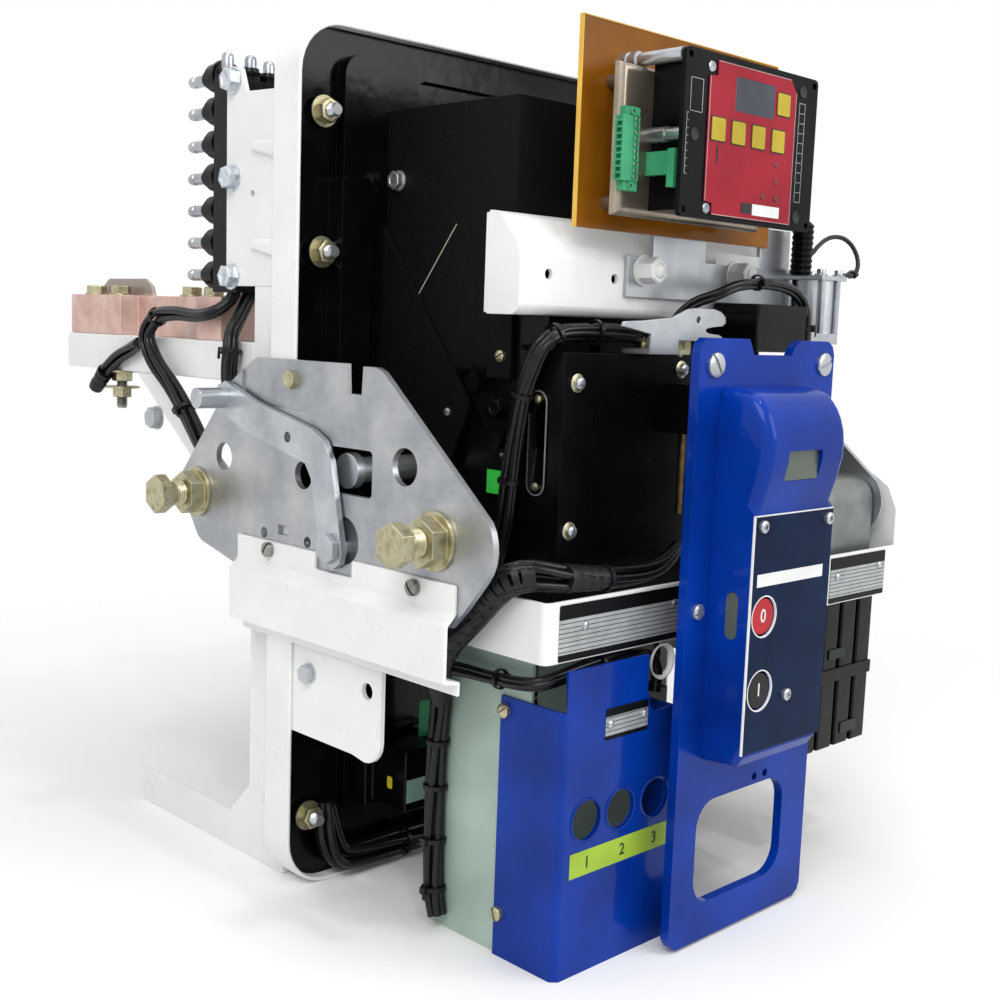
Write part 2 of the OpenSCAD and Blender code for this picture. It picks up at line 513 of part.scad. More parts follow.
loom_back = [[-180.8, 66, 384, 5], [-180.8, 72, 366, 5.6], [-180.8, 80, 346, 6], [-180.8, 84, 322, 6], [-180.8, 80, 300, 6]];
module wire_looms() color(black) {
    tube(loom_top);
    tube(loom_low);
    tube(loom_front);
    tube(loom_foot, [0.2, 0.9, 0.3]);
    tube(loom_rear);
    tube(loom_branch);
    tube(loom_back);
}

back_pan();
base_moulding();
side_plate_left();
side_plate_right();
racking_bolts_left();
racking_bolts_right();
interlock_lever();
lever_shaft();
racking_shaft();
rail_left();
rail_right();
rear_leg_left();
rear_leg_right();
pan_bracket_left();
pan_bracket_right();
terminal_shelf();
terminal_left();
terminal_centre();
terminal_right();
shelf_braces();
disconnect_bracket();
disconnect_block();
disconnect_block_top();
disconnect_pins();
mechanism_frame_left();
mechanism_frame_right();
mechanism_cross();
mechanism_linkage();
arc_chutes();
arc_barrier();
barrier_shields();
cross_beam();
mechanism_tray();
mechanism_box();
motor_cover();
lower_cover();
side_panels();
current_sensors();
auxiliary_switch();
panel_plate();
panel_supports();
panel_housing();
panel_indicator();
panel_legend();
trip_button();
close_button();
insulating_sheet();
trip_unit_bracket();
trip_unit_base();
trip_unit_case();
trip_unit_face();
terminal_plugs();
trip_actuator();
catch_plate();
relay_block();
wire_looms();
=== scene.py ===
# Looks, fasteners, wiring and studio of a draw-out power circuit breaker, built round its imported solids.
# One section for each piece or group of like pieces, in the order in which the breaker is put together.
# The values are in mm; the studio and the plain arguments of Blender's own calls are in metres.
import math

import bmesh
import bpy
from mathutils import Matrix, Vector


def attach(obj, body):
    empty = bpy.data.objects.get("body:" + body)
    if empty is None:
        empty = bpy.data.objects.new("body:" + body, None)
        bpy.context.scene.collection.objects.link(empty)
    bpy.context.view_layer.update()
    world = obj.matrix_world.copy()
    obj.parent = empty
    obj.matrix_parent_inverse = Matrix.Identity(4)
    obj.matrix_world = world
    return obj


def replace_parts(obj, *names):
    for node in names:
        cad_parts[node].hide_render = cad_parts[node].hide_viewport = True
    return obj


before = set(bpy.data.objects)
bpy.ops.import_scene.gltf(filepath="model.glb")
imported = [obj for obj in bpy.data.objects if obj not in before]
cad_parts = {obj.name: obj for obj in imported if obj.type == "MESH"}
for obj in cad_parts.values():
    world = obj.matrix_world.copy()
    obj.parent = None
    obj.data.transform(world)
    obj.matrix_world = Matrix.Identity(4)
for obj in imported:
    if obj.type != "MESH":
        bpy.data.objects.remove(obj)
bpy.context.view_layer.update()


# ---- Studio ----
# The camera stands where the photograph's straight edges put it: to the left of the breaker,
# level with its mechanism, with a normal lens.
bpy.ops.object.camera_add()
camera = bpy.context.object
camera.data.sensor_width = 36
camera.data.lens = 47.986
camera.data.clip_start = 0.01
camera.matrix_world = Matrix((
    (0.71686, 0.06454, -0.69422, -0.6617),
    (-0.69630, 0.11728, -0.70811, -0.6623),
    (0.03572, 0.99100, 0.12901, 0.3600),
    (0, 0, 0, 1),
))
bpy.context.scene.camera = camera
bpy.context.scene.view_settings.view_transform = "Standard"


def hex_colour(code):
    """An sRGB hex value as the linear colour that a node takes."""
    parts = [int(code[i:i + 2], 16) / 255 for i in (1, 3, 5)]
    return [c / 12.92 if c <= 0.04045 else ((c + 0.055) / 1.055) ** 2.4 for c in parts] + [1.0]


def feed(node, inputs):
    """Joins each named input of a node to a socket, or gives it a plain value."""
    for key, value in inputs.items():
        if isinstance(value, bpy.types.NodeSocket):
            node.id_data.links.new(value, node.inputs[key])
        else:
            node.inputs[key].default_value = value


def add(tree, kind, inputs, out=0, stops=(), **settings):
    """Adds one node and returns one of its outputs. stops are a ramp's (place, colour) pairs."""
    node = tree.nodes.new("ShaderNode" + kind)
    for key, value in settings.items():
        setattr(node, key, value)
    feed(node, inputs)
    if stops:
        while len(node.color_ramp.elements) < len(stops):
            node.color_ramp.elements.new(0.5)
        for element, (place, code) in zip(node.color_ramp.elements, stops):
            element.position = place
            element.color = hex_colour(code)
    return node.outputs[out]


def span(tree, value, low, high):
    """A value from 0 to 1, spread from low to high."""
    return add(tree, "MapRange", {"Value": value, "To Min": low, "To Max": high})


def seen_or_mirrored(tree):
    """1 for the rays that come from the camera, a glossy surface or glass, 0 for the rest."""
    rays = tree.nodes.new("ShaderNodeLightPath").outputs
    seen = add(tree, "Math", {0: rays["Is Camera Ray"], 1: rays["Is Glossy Ray"]}, operation="MAXIMUM")
    return add(tree, "Math", {0: seen, 1: rays["Is Transmission Ray"]}, operation="MAXIMUM")


# The floor is a pale seamless sweep: it takes the breaker's soft shadow near it, and fades to the
# plain white of the backdrop further out, for the camera and for what gloss and metal mirror.
sweep = bpy.data.materials.new("pale_paper_sweep")
sweep.use_nodes = True
tree = sweep.node_tree
paper = tree.nodes["Principled BSDF"]
feed(paper, {"Base Color": hex_colour("#F6F6F4"), "Roughness": 0.9})
away = add(tree, "VectorMath", {0: add(tree, "TexCoord", {}, "Object")}, "Value", operation="LENGTH")
fade = add(tree, "MapRange", {"Value": away, "From Min": 0.32, "From Max": 0.95},
           interpolation_type="SMOOTHSTEP")
fade = add(tree, "Math", {0: fade, 1: seen_or_mirrored(tree)}, operation="MULTIPLY")
white = add(tree, "Emission", {"Color": (1, 1, 1, 1), "Strength": 1})
both = add(tree, "MixShader", {0: fade, 1: paper.outputs[0], 2: white})
feed(tree.nodes["Material Output"], {"Surface": both})

bpy.ops.object.select_all(action="DESELECT")
bpy.ops.mesh.primitive_plane_add(size=14, location=(0, 0, 0))
floor = bpy.context.object
floor.name = "studio_floor"
floor.data.materials.append(sweep)

world = bpy.data.worlds.new("studio")
bpy.context.scene.world = world
world.use_nodes = True
sky = world.node_tree
feed(sky.nodes["Background"], {"Color": (1, 1, 1, 1),
                               "Strength": span(sky, seen_or_mirrored(sky), 0.45, 1.0)})

# Three soft boxes, and two small bare lamps for the sharp highlights: place, height of the point that each
# is turned to, and size in metres, then power in watts.
for name, place, aim, size, watts in (("key_left", (-1.7, -1.0, 1.7), 0.25, (1.2, 1.2), 26),
                                      ("fill_front", (0.9, -2.0, 1.2), 0.25, (1.4, 1.2), 20),
                                      ("top", (0, 0.1, 2.2), 0.2, (1.8, 1.8), 16),
                                      ("bare_lamp_left", (-1.1, -1.5, 1.9), 0.3, (0.1, 0.1), 5),
                                      ("bare_lamp_high", (-0.1, -1.1, 2.2), 0.3, (0.1, 0.1), 5)):
    bpy.ops.object.light_add(type="AREA", location=place)
    light = bpy.context.object
    light.name = name
    light.data.shape = "RECTANGLE"
    light.data.size, light.data.size_y = size
    light.data.energy = watts
    light.rotation_euler = (Vector((0, 0, aim)) - Vector(place)).to_track_quat("-Z", "Y").to_euler()


# ---- Back pan ----
# Pressed 2.5 mm steel sheet with rolled corners, in a warm off-white baked enamel: smooth, semi-gloss,
# faintly greyed by handling. Two nuts on studs hold the base to it, with a third at its foot on each side.
def new_finish(name, **shader_values):
    """A new material, its node tree and shader, and the piece's own millimetre coordinates."""
    material = bpy.data.materials.new(name)
    material.use_nodes = True
    tree = material.node_tree
    shader = tree.nodes["Principled BSDF"]
    feed(shader, {key.replace("_", " "): value for key, value in shader_values.items()})
    place = add(tree, "TexCoord", {}, "Object")
    return material, tree, shader, add(tree, "VectorMath", {0: place, "Scale": 1000}, operation="SCALE")


def noise(tree, place, scale, detail, rough=0.5):
    """A cloudy pattern; its scale is in clouds per mm."""
    return add(tree, "TexNoise", {"Vector": place, "Scale": scale, "Detail": detail, "Roughness": rough})


def relief(tree, height, strength, depth):
    """A bump that follows a pattern."""
    return add(tree, "Bump", {"Height": height, "Strength": strength, "Distance": depth})


def blend(tree, share, first, second, **settings):
    """The first colour, with a share of the second."""
    return add(tree, "Mix", {0: share, 6: first, 7: second}, 2, data_type="RGBA", **settings)


def grained(name, slot, tone, stops, rough, bump=None, **shader_values):
    """A finish of cloudy patterns, each given as its scale and detail, returned with the name of its slot.

    The colour stops follow tone. rough is one value, or (low, high, pattern). bump is (strength, depth,
    pattern).
    """
    material, tree, shader, place = new_finish(name, **shader_values)
    if isinstance(rough, tuple):
        low, high, pattern = rough
        rough = span(tree, noise(tree, place, *pattern), low, high)
    feed(shader, {"Base Color": add(tree, "ValToRGB", {0: noise(tree, place, *tone)}, stops=stops),
                  "Roughness": rough})
    if bump:
        strength, depth, pattern = bump
        normal = relief(tree, noise(tree, place, *pattern), strength, depth)
        feed(shader, {"Normal": normal})
    return material, slot


def enamel(name, slot, light, dull, gloss, shine=0.5):
    """Baked enamel: even colour, a slight orange peel about 2 mm wide, dust that greys it in patches."""
    return grained(name, slot, (0.018, 4), [(0.36, dull), (0.62, light)],
                   (gloss - 0.07, gloss + 0.1, (0.05, 5)), (0.08, 0.0004, (0.45, 1)), IOR=1.5,
                   Specular_IOR_Level=shine)


def zinc_plate(name, slot, light, dark, rough, streak):
    """Zinc on rolled steel: cloudy patches about 30 mm wide and fine streaks along the rolling."""
    material, tree, shader, place = new_finish(name, Metallic=0.85)
    rolled = add(tree, "Mapping", {"Vector": place, "Scale": (1.4, 0.05, 1.4)})
    lines = noise(tree, rolled, 1, 3)
    both = add(tree, "Mix", {0: streak, 2: noise(tree, place, 0.035, 5, 0.6), 3: lines})
    feed(shader, {"Base Color": add(tree, "ValToRGB", {0: both}, stops=[(0.33, dark), (0.66, light)]),
                  "Roughness": span(tree, both, rough + 0.1, rough - 0.1),
                  "Normal": relief(tree, lines, 0.06, 0.0002)})
    return material, slot


def chromate_plate(name, slot, stops):
    """A chromate film on zinc: a satin metal whose tint drifts over a few millimetres."""
    return grained(name, slot, (0.16, 3), stops, (0.25, 0.45, (0.16, 3)), Metallic=0.9)


def keep(piece, finish, body="frame", stands_for=()):
    """Gives a piece the material of its finish, a pair of a material and a slot's name, and its place in
    the assembly.
    """
    material, slot = finish
    piece.data.materials.clear()
    piece.data.materials.append(material)
    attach(piece, body)
    if stands_for:
        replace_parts(piece, *stands_for)


def pick(*pieces):
    """Selects these pieces alone, with the first one active."""
    bpy.ops.object.select_all(action="DESELECT")
    for piece in pieces:
        piece.select_set(True)
    bpy.context.view_layer.objects.active = pieces[0]


def change(piece, kind, **settings):
    """Puts a modifier on the active piece and applies it."""
    modifier = piece.modifiers.new("change", kind)
    for key, value in settings.items():
        setattr(modifier, key, value)
    bpy.ops.object.modifier_apply(modifier=modifier.name)


SMOOTH_BELOW = math.radians(38)  # faces that meet at less than this shade as one


def round_edges(piece, width, steps=2, angle=32):
    """Leaves edit mode and rounds the edges that turn by more than the angle."""
    bpy.ops.object.mode_set(mode="OBJECT")
    change(piece, "BEVEL", width=width / 1000, segments=steps, limit_method="ANGLE",
           angle_limit=math.radians(angle), miter_outer="MITER_ARC")
    bpy.ops.object.shade_smooth_by_angle(angle=SMOOTH_BELOW)
    change(piece, "WEIGHTED_NORMAL", keep_sharp=True)


def bend(piece, radius, steps, test):
    """Bevels, in edit mode, the edges that pass the test."""
    bpy.ops.mesh.select_mode(type="EDGE")
    bpy.ops.mesh.select_all(action="DESELECT")
    mesh = bmesh.from_edit_mesh(piece.data)
    for line in mesh.edges:
        line.select_set(test(line))
    bmesh.update_edit_mesh(piece.data)
    bpy.ops.mesh.bevel(offset=radius / 1000, segments=steps, affect="EDGES")
    bpy.ops.mesh.select_mode(type="FACE")


def soften(node, finish, width=0.8, steps=2, angle=32, body="frame", bends=()):
    """The CAD node with its edges rounded, as bending, moulding or deburring leaves them.

    bends are larger radii, each with the test that finds its edges by their two ends.
    """
    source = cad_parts[node]
    piece = source.copy()
    piece.data = source.data.copy()
    bpy.context.collection.objects.link(piece)
    for key in list(piece.keys()):
        del piece[key]
    piece.parent = None
    piece.name = node + "_finished"
    pick(piece)
    bpy.ops.object.mode_set(mode="EDIT")
    bpy.ops.mesh.select_all(action="SELECT")
    bpy.ops.mesh.customdata_custom_splitnormals_clear()
    bpy.ops.mesh.remove_doubles(threshold=0.00001)
    bpy.ops.mesh.dissolve_limited(angle_limit=math.radians(0.6))
    for radius, test in bends:
        bend(piece, radius, 6, lambda line: line.calc_face_angle(0) > 0.6 and test(
            *(vert.co * 1000 for vert in line.verts)))
    round_edges(piece, width, steps, angle)
    keep(piece, finish, body, (node,))


def begin(shape, name, **settings):
    """A primitive with nothing else selected and its place in its mesh, left open for editing."""
    bpy.ops.object.select_all(action="DESELECT")
    getattr(bpy.ops.mesh, f"primitive_{shape}_add")(**settings)
    bpy.ops.object.transform_apply(location=True, rotation=True, scale=True)
    piece = bpy.context.object
    piece.name = name
    bpy.ops.object.mode_set(mode="EDIT")
    return piece


def begin_mesh(name, points, edges, faces):
    """A mesh of its own points, left open for editing with all of it selected."""
    mesh = bpy.data.meshes.new(name)
    mesh.from_pydata([(x / 1000, y / 1000, z / 1000) for x, y, z in points], edges, faces)
    piece = bpy.data.objects.new(name, mesh)
    bpy.context.collection.objects.link(piece)
    pick(piece)
    bpy.ops.object.mode_set(mode="EDIT")
    bpy.ops.mesh.select_all(action="SELECT")
    return piece


def choose(piece, test):
    """Selects the faces whose middle and outward normal pass the test."""
    bpy.ops.mesh.select_all(action="DESELECT")
    mesh = bmesh.from_edit_mesh(piece.data)
    for face in mesh.faces:
        face.select_set(test(face.calc_center_median() * 1000, face.normal))
    bmesh.update_edit_mesh(piece.data)


def hex_head(name, flats, height, washer):
    """A forged hexagon on its round washer, standing on the origin: chamfered crown, sunk middle."""
    head = begin("cylinder", name, vertices=6, radius=flats / 1732, depth=height / 1000,
                 location=(0, 0, (1.2 + height / 2) / 1000))
    choose(head, lambda middle, normal: normal.z > 0.9)
    bpy.ops.mesh.inset(thickness=flats * 0.00008, depth=height * 0.00008)
    bpy.ops.mesh.inset(thickness=flats * 0.00012, depth=0)
    bpy.ops.mesh.inset(thickness=flats * 0.00004, depth=-height * 0.00012)
    bpy.ops.mesh.primitive_cylinder_add(vertices=28, radius=washer / 1000, depth=0.0014,
                                        location=(0, 0, 0.0007))
    round_edges(head, 0.3)
    return head


def turned(name, outline, steps=24):
    """A turned part: its outline of radii and heights is spun about the upright axis."""
    edges = [(i, i + 1) for i in range(len(outline) - 1)]
    piece = begin_mesh(name, [(r, 0, z) for r, z in outline], edges, [])
    bpy.ops.mesh.spin(steps=steps, angle=math.tau, center=(0, 0, 0), axis=(0, 0, 1))
    bpy.ops.mesh.select_all(action="SELECT")
    bpy.ops.mesh.remove_doubles(threshold=0.000002)
    bpy.ops.mesh.normals_make_consistent(inside=False)
    bpy.ops.object.mode_set(mode="OBJECT")
    bpy.ops.object.shade_smooth_by_angle(angle=SMOOTH_BELOW)
    return piece


def thread(low, high, radius, pitch):
    """The outline of a threaded end from low to high: crests and roots, then a chamfered point."""
    outline = [(0, low)]
    for turn in range(int((high - low - pitch) / pitch)):
        outline += [(radius * 0.86, low + turn * pitch), (radius, low + (turn + 0.5) * pitch)]
    return outline + [(radius * 0.86, high - pitch), (radius * 0.8, high), (0, high)]


def join(parts, name):
    """Makes several parts one mesh."""
    pick(*parts)
    bpy.ops.object.join()
    parts[0].name = name
    return parts[0]


WAYS = {"left": (-1, 0, 0), "right": (1, 0, 0), "front": (0, -1, 0), "back": (0, 1, 0), "up": (0, 0, 1),
        "down": (0, 0, -1)}


def spots(way, level, *points):
    """Places on a flat that faces one way, at its level: each has its two other coordinates and a twist."""
    axis = [abs(part) for part in WAYS[way]].index(1)
    places = []
    for first, second, *twist in points:
        place = [first, second]
        place.insert(axis, level)
        places.append((*place, way, twist[0] if twist else 0))
    return places


patterns = []  # the small parts that are copied, taken away at the end


def fit(part, name, places, finish):
    """Copies a small part to each place, (x, y, z, way that it faces, twist in degrees), as one piece."""
    copies = []
    for x, y, z, way, twist in places:
        copy = part.copy()
        copy.data = part.data.copy()
        bpy.context.collection.objects.link(copy)
        turn = Vector(WAYS[way]).to_track_quat("Z", "Y").to_matrix().to_4x4()
        spot = Matrix.Translation((x / 1000, y / 1000, z / 1000))
        copy.data.transform(spot @ turn @ Matrix.Rotation(math.radians(twist), 4, "Z"))
        copies.append(copy)
    keep(join(copies, name), finish)
    if part not in patterns:
        patterns.append(part)


white_enamel = enamel("off_white_baked_enamel", "white_paint", "#E8E9E8", "#E0E2E1", 0.28)
bright_zinc = zinc_plate("bright_zinc_plated_steel", "zinc_steel", "#C3C7CB", "#A1A5AA", 0.3, 0.2)
blue_zinc = chromate_plate("blue_passivated_zinc", "zinc_steel",
                           [(0.35, "#A9B4BF"), (0.5, "#D5DBDF"), (0.68, "#C2C8D6")])
straw_zinc = chromate_plate("yellow_chromate_on_zinc", "yellow_zinc",
                            [(0.3, "#958F74"), (0.45, "#B0A988"), (0.58, "#BDB79B"), (0.7, "#A39B7C")])

soften("back_pan", white_enamel, 1.1, 3)
pan_studs = spots("front", 4, (-168, 484, 8), (-168, 401, 20), (-171, 46, 33), (168, 484, 12),
                  (168, 401, 40), (171, 46, 5))
fit(hex_head("nut_m8", 13, 6.5, 9.5), "pan_nuts", pan_studs, straw_zinc)
fit(turned("stud_m8", thread(6, 14, 4, 1.25)), "pan_studs", pan_studs, bright_zinc)


# ---- Base moulding and other black mouldings ----
# Black phenolic moulded in a polished tool: glossy, with soft corners and a very faint ripple.
def moulded_black(name, rough, ripple, shine=0.16):
    """Moulded black plastic: deep black, broad faint flow ripple, fine dust that dulls it in patches."""
    dust = (0.03, 6)
    return grained(name, "black_moulding", dust, [(0.4, "#040405"), (0.75, "#0E0E10")],
                   (rough - 0.08, rough + 0.14, dust), (ripple, 0.001, (0.06, 2)), IOR=1.5,
                   Specular_IOR_Level=shine)


phenolic = moulded_black("black_phenolic_moulding", 0.15, 0.3)
soften("base_moulding", phenolic, 3.0, 4)


# ---- Side plates, lever and shafts ----
# Blanked 4 mm steel plate with a dull zinc coat: soft rolling streaks, clouded patches, bright sheared
# edges. The lever is cut from the same plate and swings on a riveted pin.
zinc = zinc_plate("dull_zinc_plated_steel", "zinc_steel", "#B9BBBD", "#979A9F", 0.36, 0.15)
for name in ("side_plate_left", "side_plate_right"):
    soften(name, zinc, 0.5)
soften("interlock_lever", bright_zinc, 0.6, body="lever_body")
for name in ("lever_shaft", "racking_shaft"):
    soften(name, bright_zinc, 0.5)
bolt_m6 = hex_head("bolt_m6", 10, 4.5, 6.4)
fit(bolt_m6, "plate_tab_bolts", [(-189.8, -2, 324, "left", 10), (189.8, -2, 324, "right", 25)], straw_zinc)


# ---- Racking bolts ----
# Hexagon bolts, washers and nuts in yellow chromate over zinc: a straw gold with faint green clouds.
# Their shanks show four turns of thread outside the nut.
for name in ("racking_bolts_left", "racking_bolts_right"):
    soften(name, straw_zinc, 0.9, 3)
both_sides = ((-1, "left"), (1, "right"))
root, crest, pitch = 7.6, 8.2, 1.6
turns = [point for turn in range(4)
         for point in ((root, 0.4 + turn * pitch), (crest, 1.2 + turn * pitch))]
bolt_thread = turned("bolt_thread", [(7.4, 0), (7.4, 0.2)] + turns + [(7.4, 6.8)])
fit(bolt_thread, "racking_threads", [(side * 205.2, y, 245, way, 0) for y in (-136, 101)
                                     for side, way in both_sides], straw_zinc)


# ---- Rails and rear legs ----
# Bent from 2.5 and 3 mm sheet, enamelled white; slotted pan-head screws in plain steel hold the rails.
def slot_screw(name, radius, height, recess="slot"):
    """A turned round head, domed, with a sawn slot or a pressed cross, standing on the origin."""
    head = begin("cylinder", name, vertices=28, radius=radius / 1000, depth=height / 1000,
                 location=(0, 0, height / 2000))
    choose(head, lambda middle, normal: normal.z > 0.9)
    bpy.ops.mesh.inset(thickness=radius * 0.00025, depth=height * 0.00025)
    bpy.ops.mesh.inset(thickness=radius * 0.0003, depth=height * 0.00012)
    round_edges(head, 0.2)
    reach, turns = {"slot": (2.4, (0,)), "cross": (1.1, (0, 90))}[recess]
    for turn in turns:
        cutter = begin("cube", "saw", size=0.001, location=(0, 0, height * 1.25 / 1000),
                       scale=(radius * reach, radius * 0.28, height * 1.3),
                       rotation=(0, 0, math.radians(turn)))
        bpy.ops.object.mode_set(mode="OBJECT")
        bpy.context.view_layer.objects.active = head
        change(head, "BOOLEAN", operation="DIFFERENCE", object=cutter)
        bpy.data.objects.remove(cutter)
    return head


for name in ("rear_leg_left", "rear_leg_right", "pan_bracket_left", "pan_bracket_right"):
    soften(name, white_enamel, 1.1, 3)
for name in ("rail_left", "rail_right"):
    soften(name, white_enamel)
plain_steel = zinc_plate("plain_oiled_steel", "zinc_steel", "#A8A7A3", "#6F6E6A", 0.32, 0.5)
fit(slot_screw("rail_screw", 4.6, 3.4), "rail_screws",
    spots("left", -195.5, (14, 219, 60), (-123, 218, 130))
    + spots("right", 195.5, (14, 219, 20), (-123, 218, 75)),
    plain_steel)
fit(bolt_m6, "pan_bracket_bolts", [(-186.4, -17, 146, "left", 15), (186.4, -17, 146, "right", 30)],
    bright_zinc)


# ---- Terminal shelf and copper terminals ----
# White steel shelf under three hard-drawn copper bars, faced on a mill and left bare: a dull pink with
# brown clouds, and tinned where their flags stand up. Hexagon bolts hold the bars and the braces.
def copper_bar(flag_foot):
    """Tarnished copper with the mill's fine lines, tinned grey above the foot of the flag."""
    material, tree, shader, place = new_finish("tarnished_copper_bar", Metallic=0.75, Roughness=0.5)
    cloud = noise(tree, place, 0.04, 6, 0.65)
    tone = add(tree, "ValToRGB", {0: cloud}, stops=[(0.3, "#BE9C90"), (0.52, "#D5B6AC"), (0.72, "#E0C9C1")])
    milled = add(tree, "Mapping", {"Vector": place, "Scale": (2.2, 0.06, 2.2)})
    height = add(tree, "SeparateXYZ", {0: place}, "Z")
    flag = add(tree, "MapRange", {"Value": height, "From Min": flag_foot, "From Max": flag_foot + 3})
    feed(shader, {"Base Color": blend(tree, flag, tone, hex_colour("#A39A93")),
                  "Normal": relief(tree, noise(tree, milled, 1, 2), 0.1, 0.0002)})
    return material, "copper"


for name in ("terminal_shelf", "shelf_braces"):
    soften(name, white_enamel, 1.1, 3)
bar_top, pole_pitch = 373, 141
copper = copper_bar(bar_top)
for name in ("terminal_left", "terminal_centre", "terminal_right"):
    soften(name, copper)
bolt_m8 = hex_head("bolt_m8", 13, 5.5, 8.6)
fit(bolt_m8, "terminal_bolts", [
    (pole + x, y, bar_top, "up", 11 * i) for pole in (-pole_pitch, 0, pole_pitch)
    for i, (x, y) in enumerate(((-20, 300), (-20, 262), (-9, 180), (-9, 152), (-9, 122)))], straw_zinc)
fit(bolt_m8, "brace_bolts", [(-174, 186, 287, "left", 10), (174, 186, 287, "right", 10)], bright_zinc)
foot = (-168, 248, 317.9, "down", 0)
fit(turned("stud_m8_long", thread(0, 28, 4, 1.25)), "shelf_stud", [foot], plain_steel)
fit(hex_head("nut_flange", 13, 6.5, 13), "shelf_stud_nuts", [foot, (-168, 248, 306, "down", 25)],
    straw_zinc)


# ---- Secondary disconnects ----
# A pressed white bracket carries two black moulded blocks of plated pins with rounded tips. Flanged
# hexagon bolts in blue zinc hold the block from the side.
soften("disconnect_bracket", white_enamel, 1.4, 4, 20, bends=[(2.4, lambda a, b: max(a.x, b.x) < -176.9)])
for name in ("disconnect_block", "disconnect_block_top"):
    soften(name, phenolic, 1.2, 3)
nickel = zinc_plate("nickel_plated_pin", "plated_pins", "#BFC3C8", "#858A91", 0.22, 0.3)
long_pin = turned("long_pin", [(0, 0), (4, 0), (4, 15), (3.3, 15.7), (3.3, 17), (4, 17.7), (4, 21.3),
                               (3.5, 23.4), (2.2, 24.8), (0, 25.2)])
short_pin = turned("short_pin", [(0, 0), (4, 0), (4, 7.6), (3.5, 9.6), (2.2, 10.7), (0, 11)])
side_pitch, top_pitch = 21.6, 18.9
side_pins = [(-160, 141, 388 + i * side_pitch, "back", 0) for i in range(7)]
top_pins = [(-148 + i * top_pitch, 119 if i else 112.5, 521, "up", 0) for i in range(7)]
fit(long_pin, "disconnect_pins_side", side_pins, nickel)
fit(short_pin, "disconnect_pins_top", top_pins + [(-166.6, 111, 520, "up", 0)], nickel)
for name in ("disconnect_pins_side", "disconnect_pins_top"):
    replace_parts(bpy.data.objects[name], "disconnect_pins")
fit(bolt_m8, "bracket_bolts", spots("left", -174, (92, 510, 12), (92, 449, 40), (92, 386, 25)), blue_zinc)
collar = turned("collar", [(6, 0), (10.6, 0), (11, 0.5), (11, 2.4), (10.6, 2.9), (9.7, 3), (9.6, 12),
                           (8.8, 12.2), (8.8, 14), (8.2, 14.6), (6.6, 14.8), (6.4, 19.4), (5.4, 19.6),
                           (5.2, 22), (3.9, 22.2)])
fit(collar, "block_collars", [(x, y - 18, z, way, 0) for x, y, z, way, twist in side_pins], phenolic)
top_collar = turned("top_collar", [(5, 0), (8.2, 0), (8.4, 0.5), (8.4, 2), (7, 2.4), (6, 2.6), (5.6, 5),
                                   (3.9, 5.2)])
fit(top_collar, "top_block_collars", [(x, y, z - 2.6, way, 0) for x, y, z, way, twist in top_pins],
    phenolic)


# ---- Arc chutes, barrier and shields ----
# Pressed fibre board in a flat black varnish, sawn to shape: dull faces with a fine fibre. The saw left a
# pale raw edge along the slanting cut. Riveted shields overlap it.
pulp = (0.6, 6, 0.7)
board = grained("black_fibre_board", "insulating_board", pulp, [(0.35, "#070708"), (0.7, "#131314")],
                (0.42, 0.62, pulp), (0.2, 0.0003, pulp), IOR=1.45, Specular_IOR_Level=0.1)
for name in ("arc_chutes", "arc_barrier", "barrier_shields"):
    soften(name, board, 0.5)
barrier_side = 120.9
fit(slot_screw("pan_screw", 3.6, 2.6), "barrier_screws",
    [(side * barrier_side, -108, 343, way, 30) for side, way in both_sides], straw_zinc)
fit(bolt_m6, "barrier_bolts", [(side * barrier_side, -12, 447, way, 5) for side, way in both_sides],
    bright_zinc)
rivet = turned("rivet", [(0, 0), (2.6, 0), (2.4, 0.9), (1.5, 1.5), (0, 1.6)], 16)
fit(rivet, "shield_rivets", [(side * 124, y, z, way, 0) for y, z in ((-66, 308), (-54, 289))
                             for side, way in both_sides], bright_zinc)
raw_edge = enamel("raw_sawn_board_edge", "insulating_board", "#B9A898", "#8E7F71", 0.7)
for side, way in both_sides:
    strip = begin("cube", "barrier_raw_edge_" + way, size=0.001, location=(side * 0.1196, -0.0332, 0.3783),
                  scale=(3, 0.8, 105), rotation=(math.radians(38.5), 0, 0))
    choose(strip, lambda middle, normal: abs(normal.x) > 0.9)
    bpy.ops.mesh.inset(thickness=0.0002, depth=0)
    round_edges(strip, 0.15)
    keep(strip, raw_edge)


# ---- Mechanism frame, side box and cross beam ----
# Bent steel in a thin black stoving enamel, semi-gloss; the beam over it is white, with a plug in each end.
# The side box has plated screws with star washers, an oval plate (left bare) and a brass strip.
black_enamel = enamel("black_stoving_enamel", "black_paint", "#0A0A0B", "#050506", 0.26, 0.13)
for name in ("mechanism_frame_left", "mechanism_frame_right", "mechanism_cross", "mechanism_box",
             "mechanism_linkage", "panel_supports"):
    soften(name, black_enamel, 0.7)
soften("cross_beam", white_enamel, 1.2, 3, bends=[
    (4.5, lambda a, b: abs(a.x - b.x) > 281 and a.y < -120 and a.z > 395),
    (2.2, lambda a, b: abs(a.x - b.x) > 281 and a.y < -120 and a.z < 380)])
plugs = []
for x in (-140.8, 139.2):
    profile = [(-112, 367.6), (-134.6, 367.6), (-139.2, 372.4), (-139.2, 401), (-121.6, 423), (-112, 423)]
    plug = begin_mesh("plug", [(x, y, z) for y, z in profile], [], [range(len(profile))])
    bpy.ops.mesh.extrude_region_move(TRANSFORM_OT_translate={"value": (0.0016, 0, 0)})
    bpy.ops.mesh.select_all(action="SELECT")
    bpy.ops.mesh.normals_make_consistent(inside=False)
    round_edges(plug, 0.7)
    plugs.append(plug)
keep(join(plugs, "cross_beam_ends"), white_enamel)


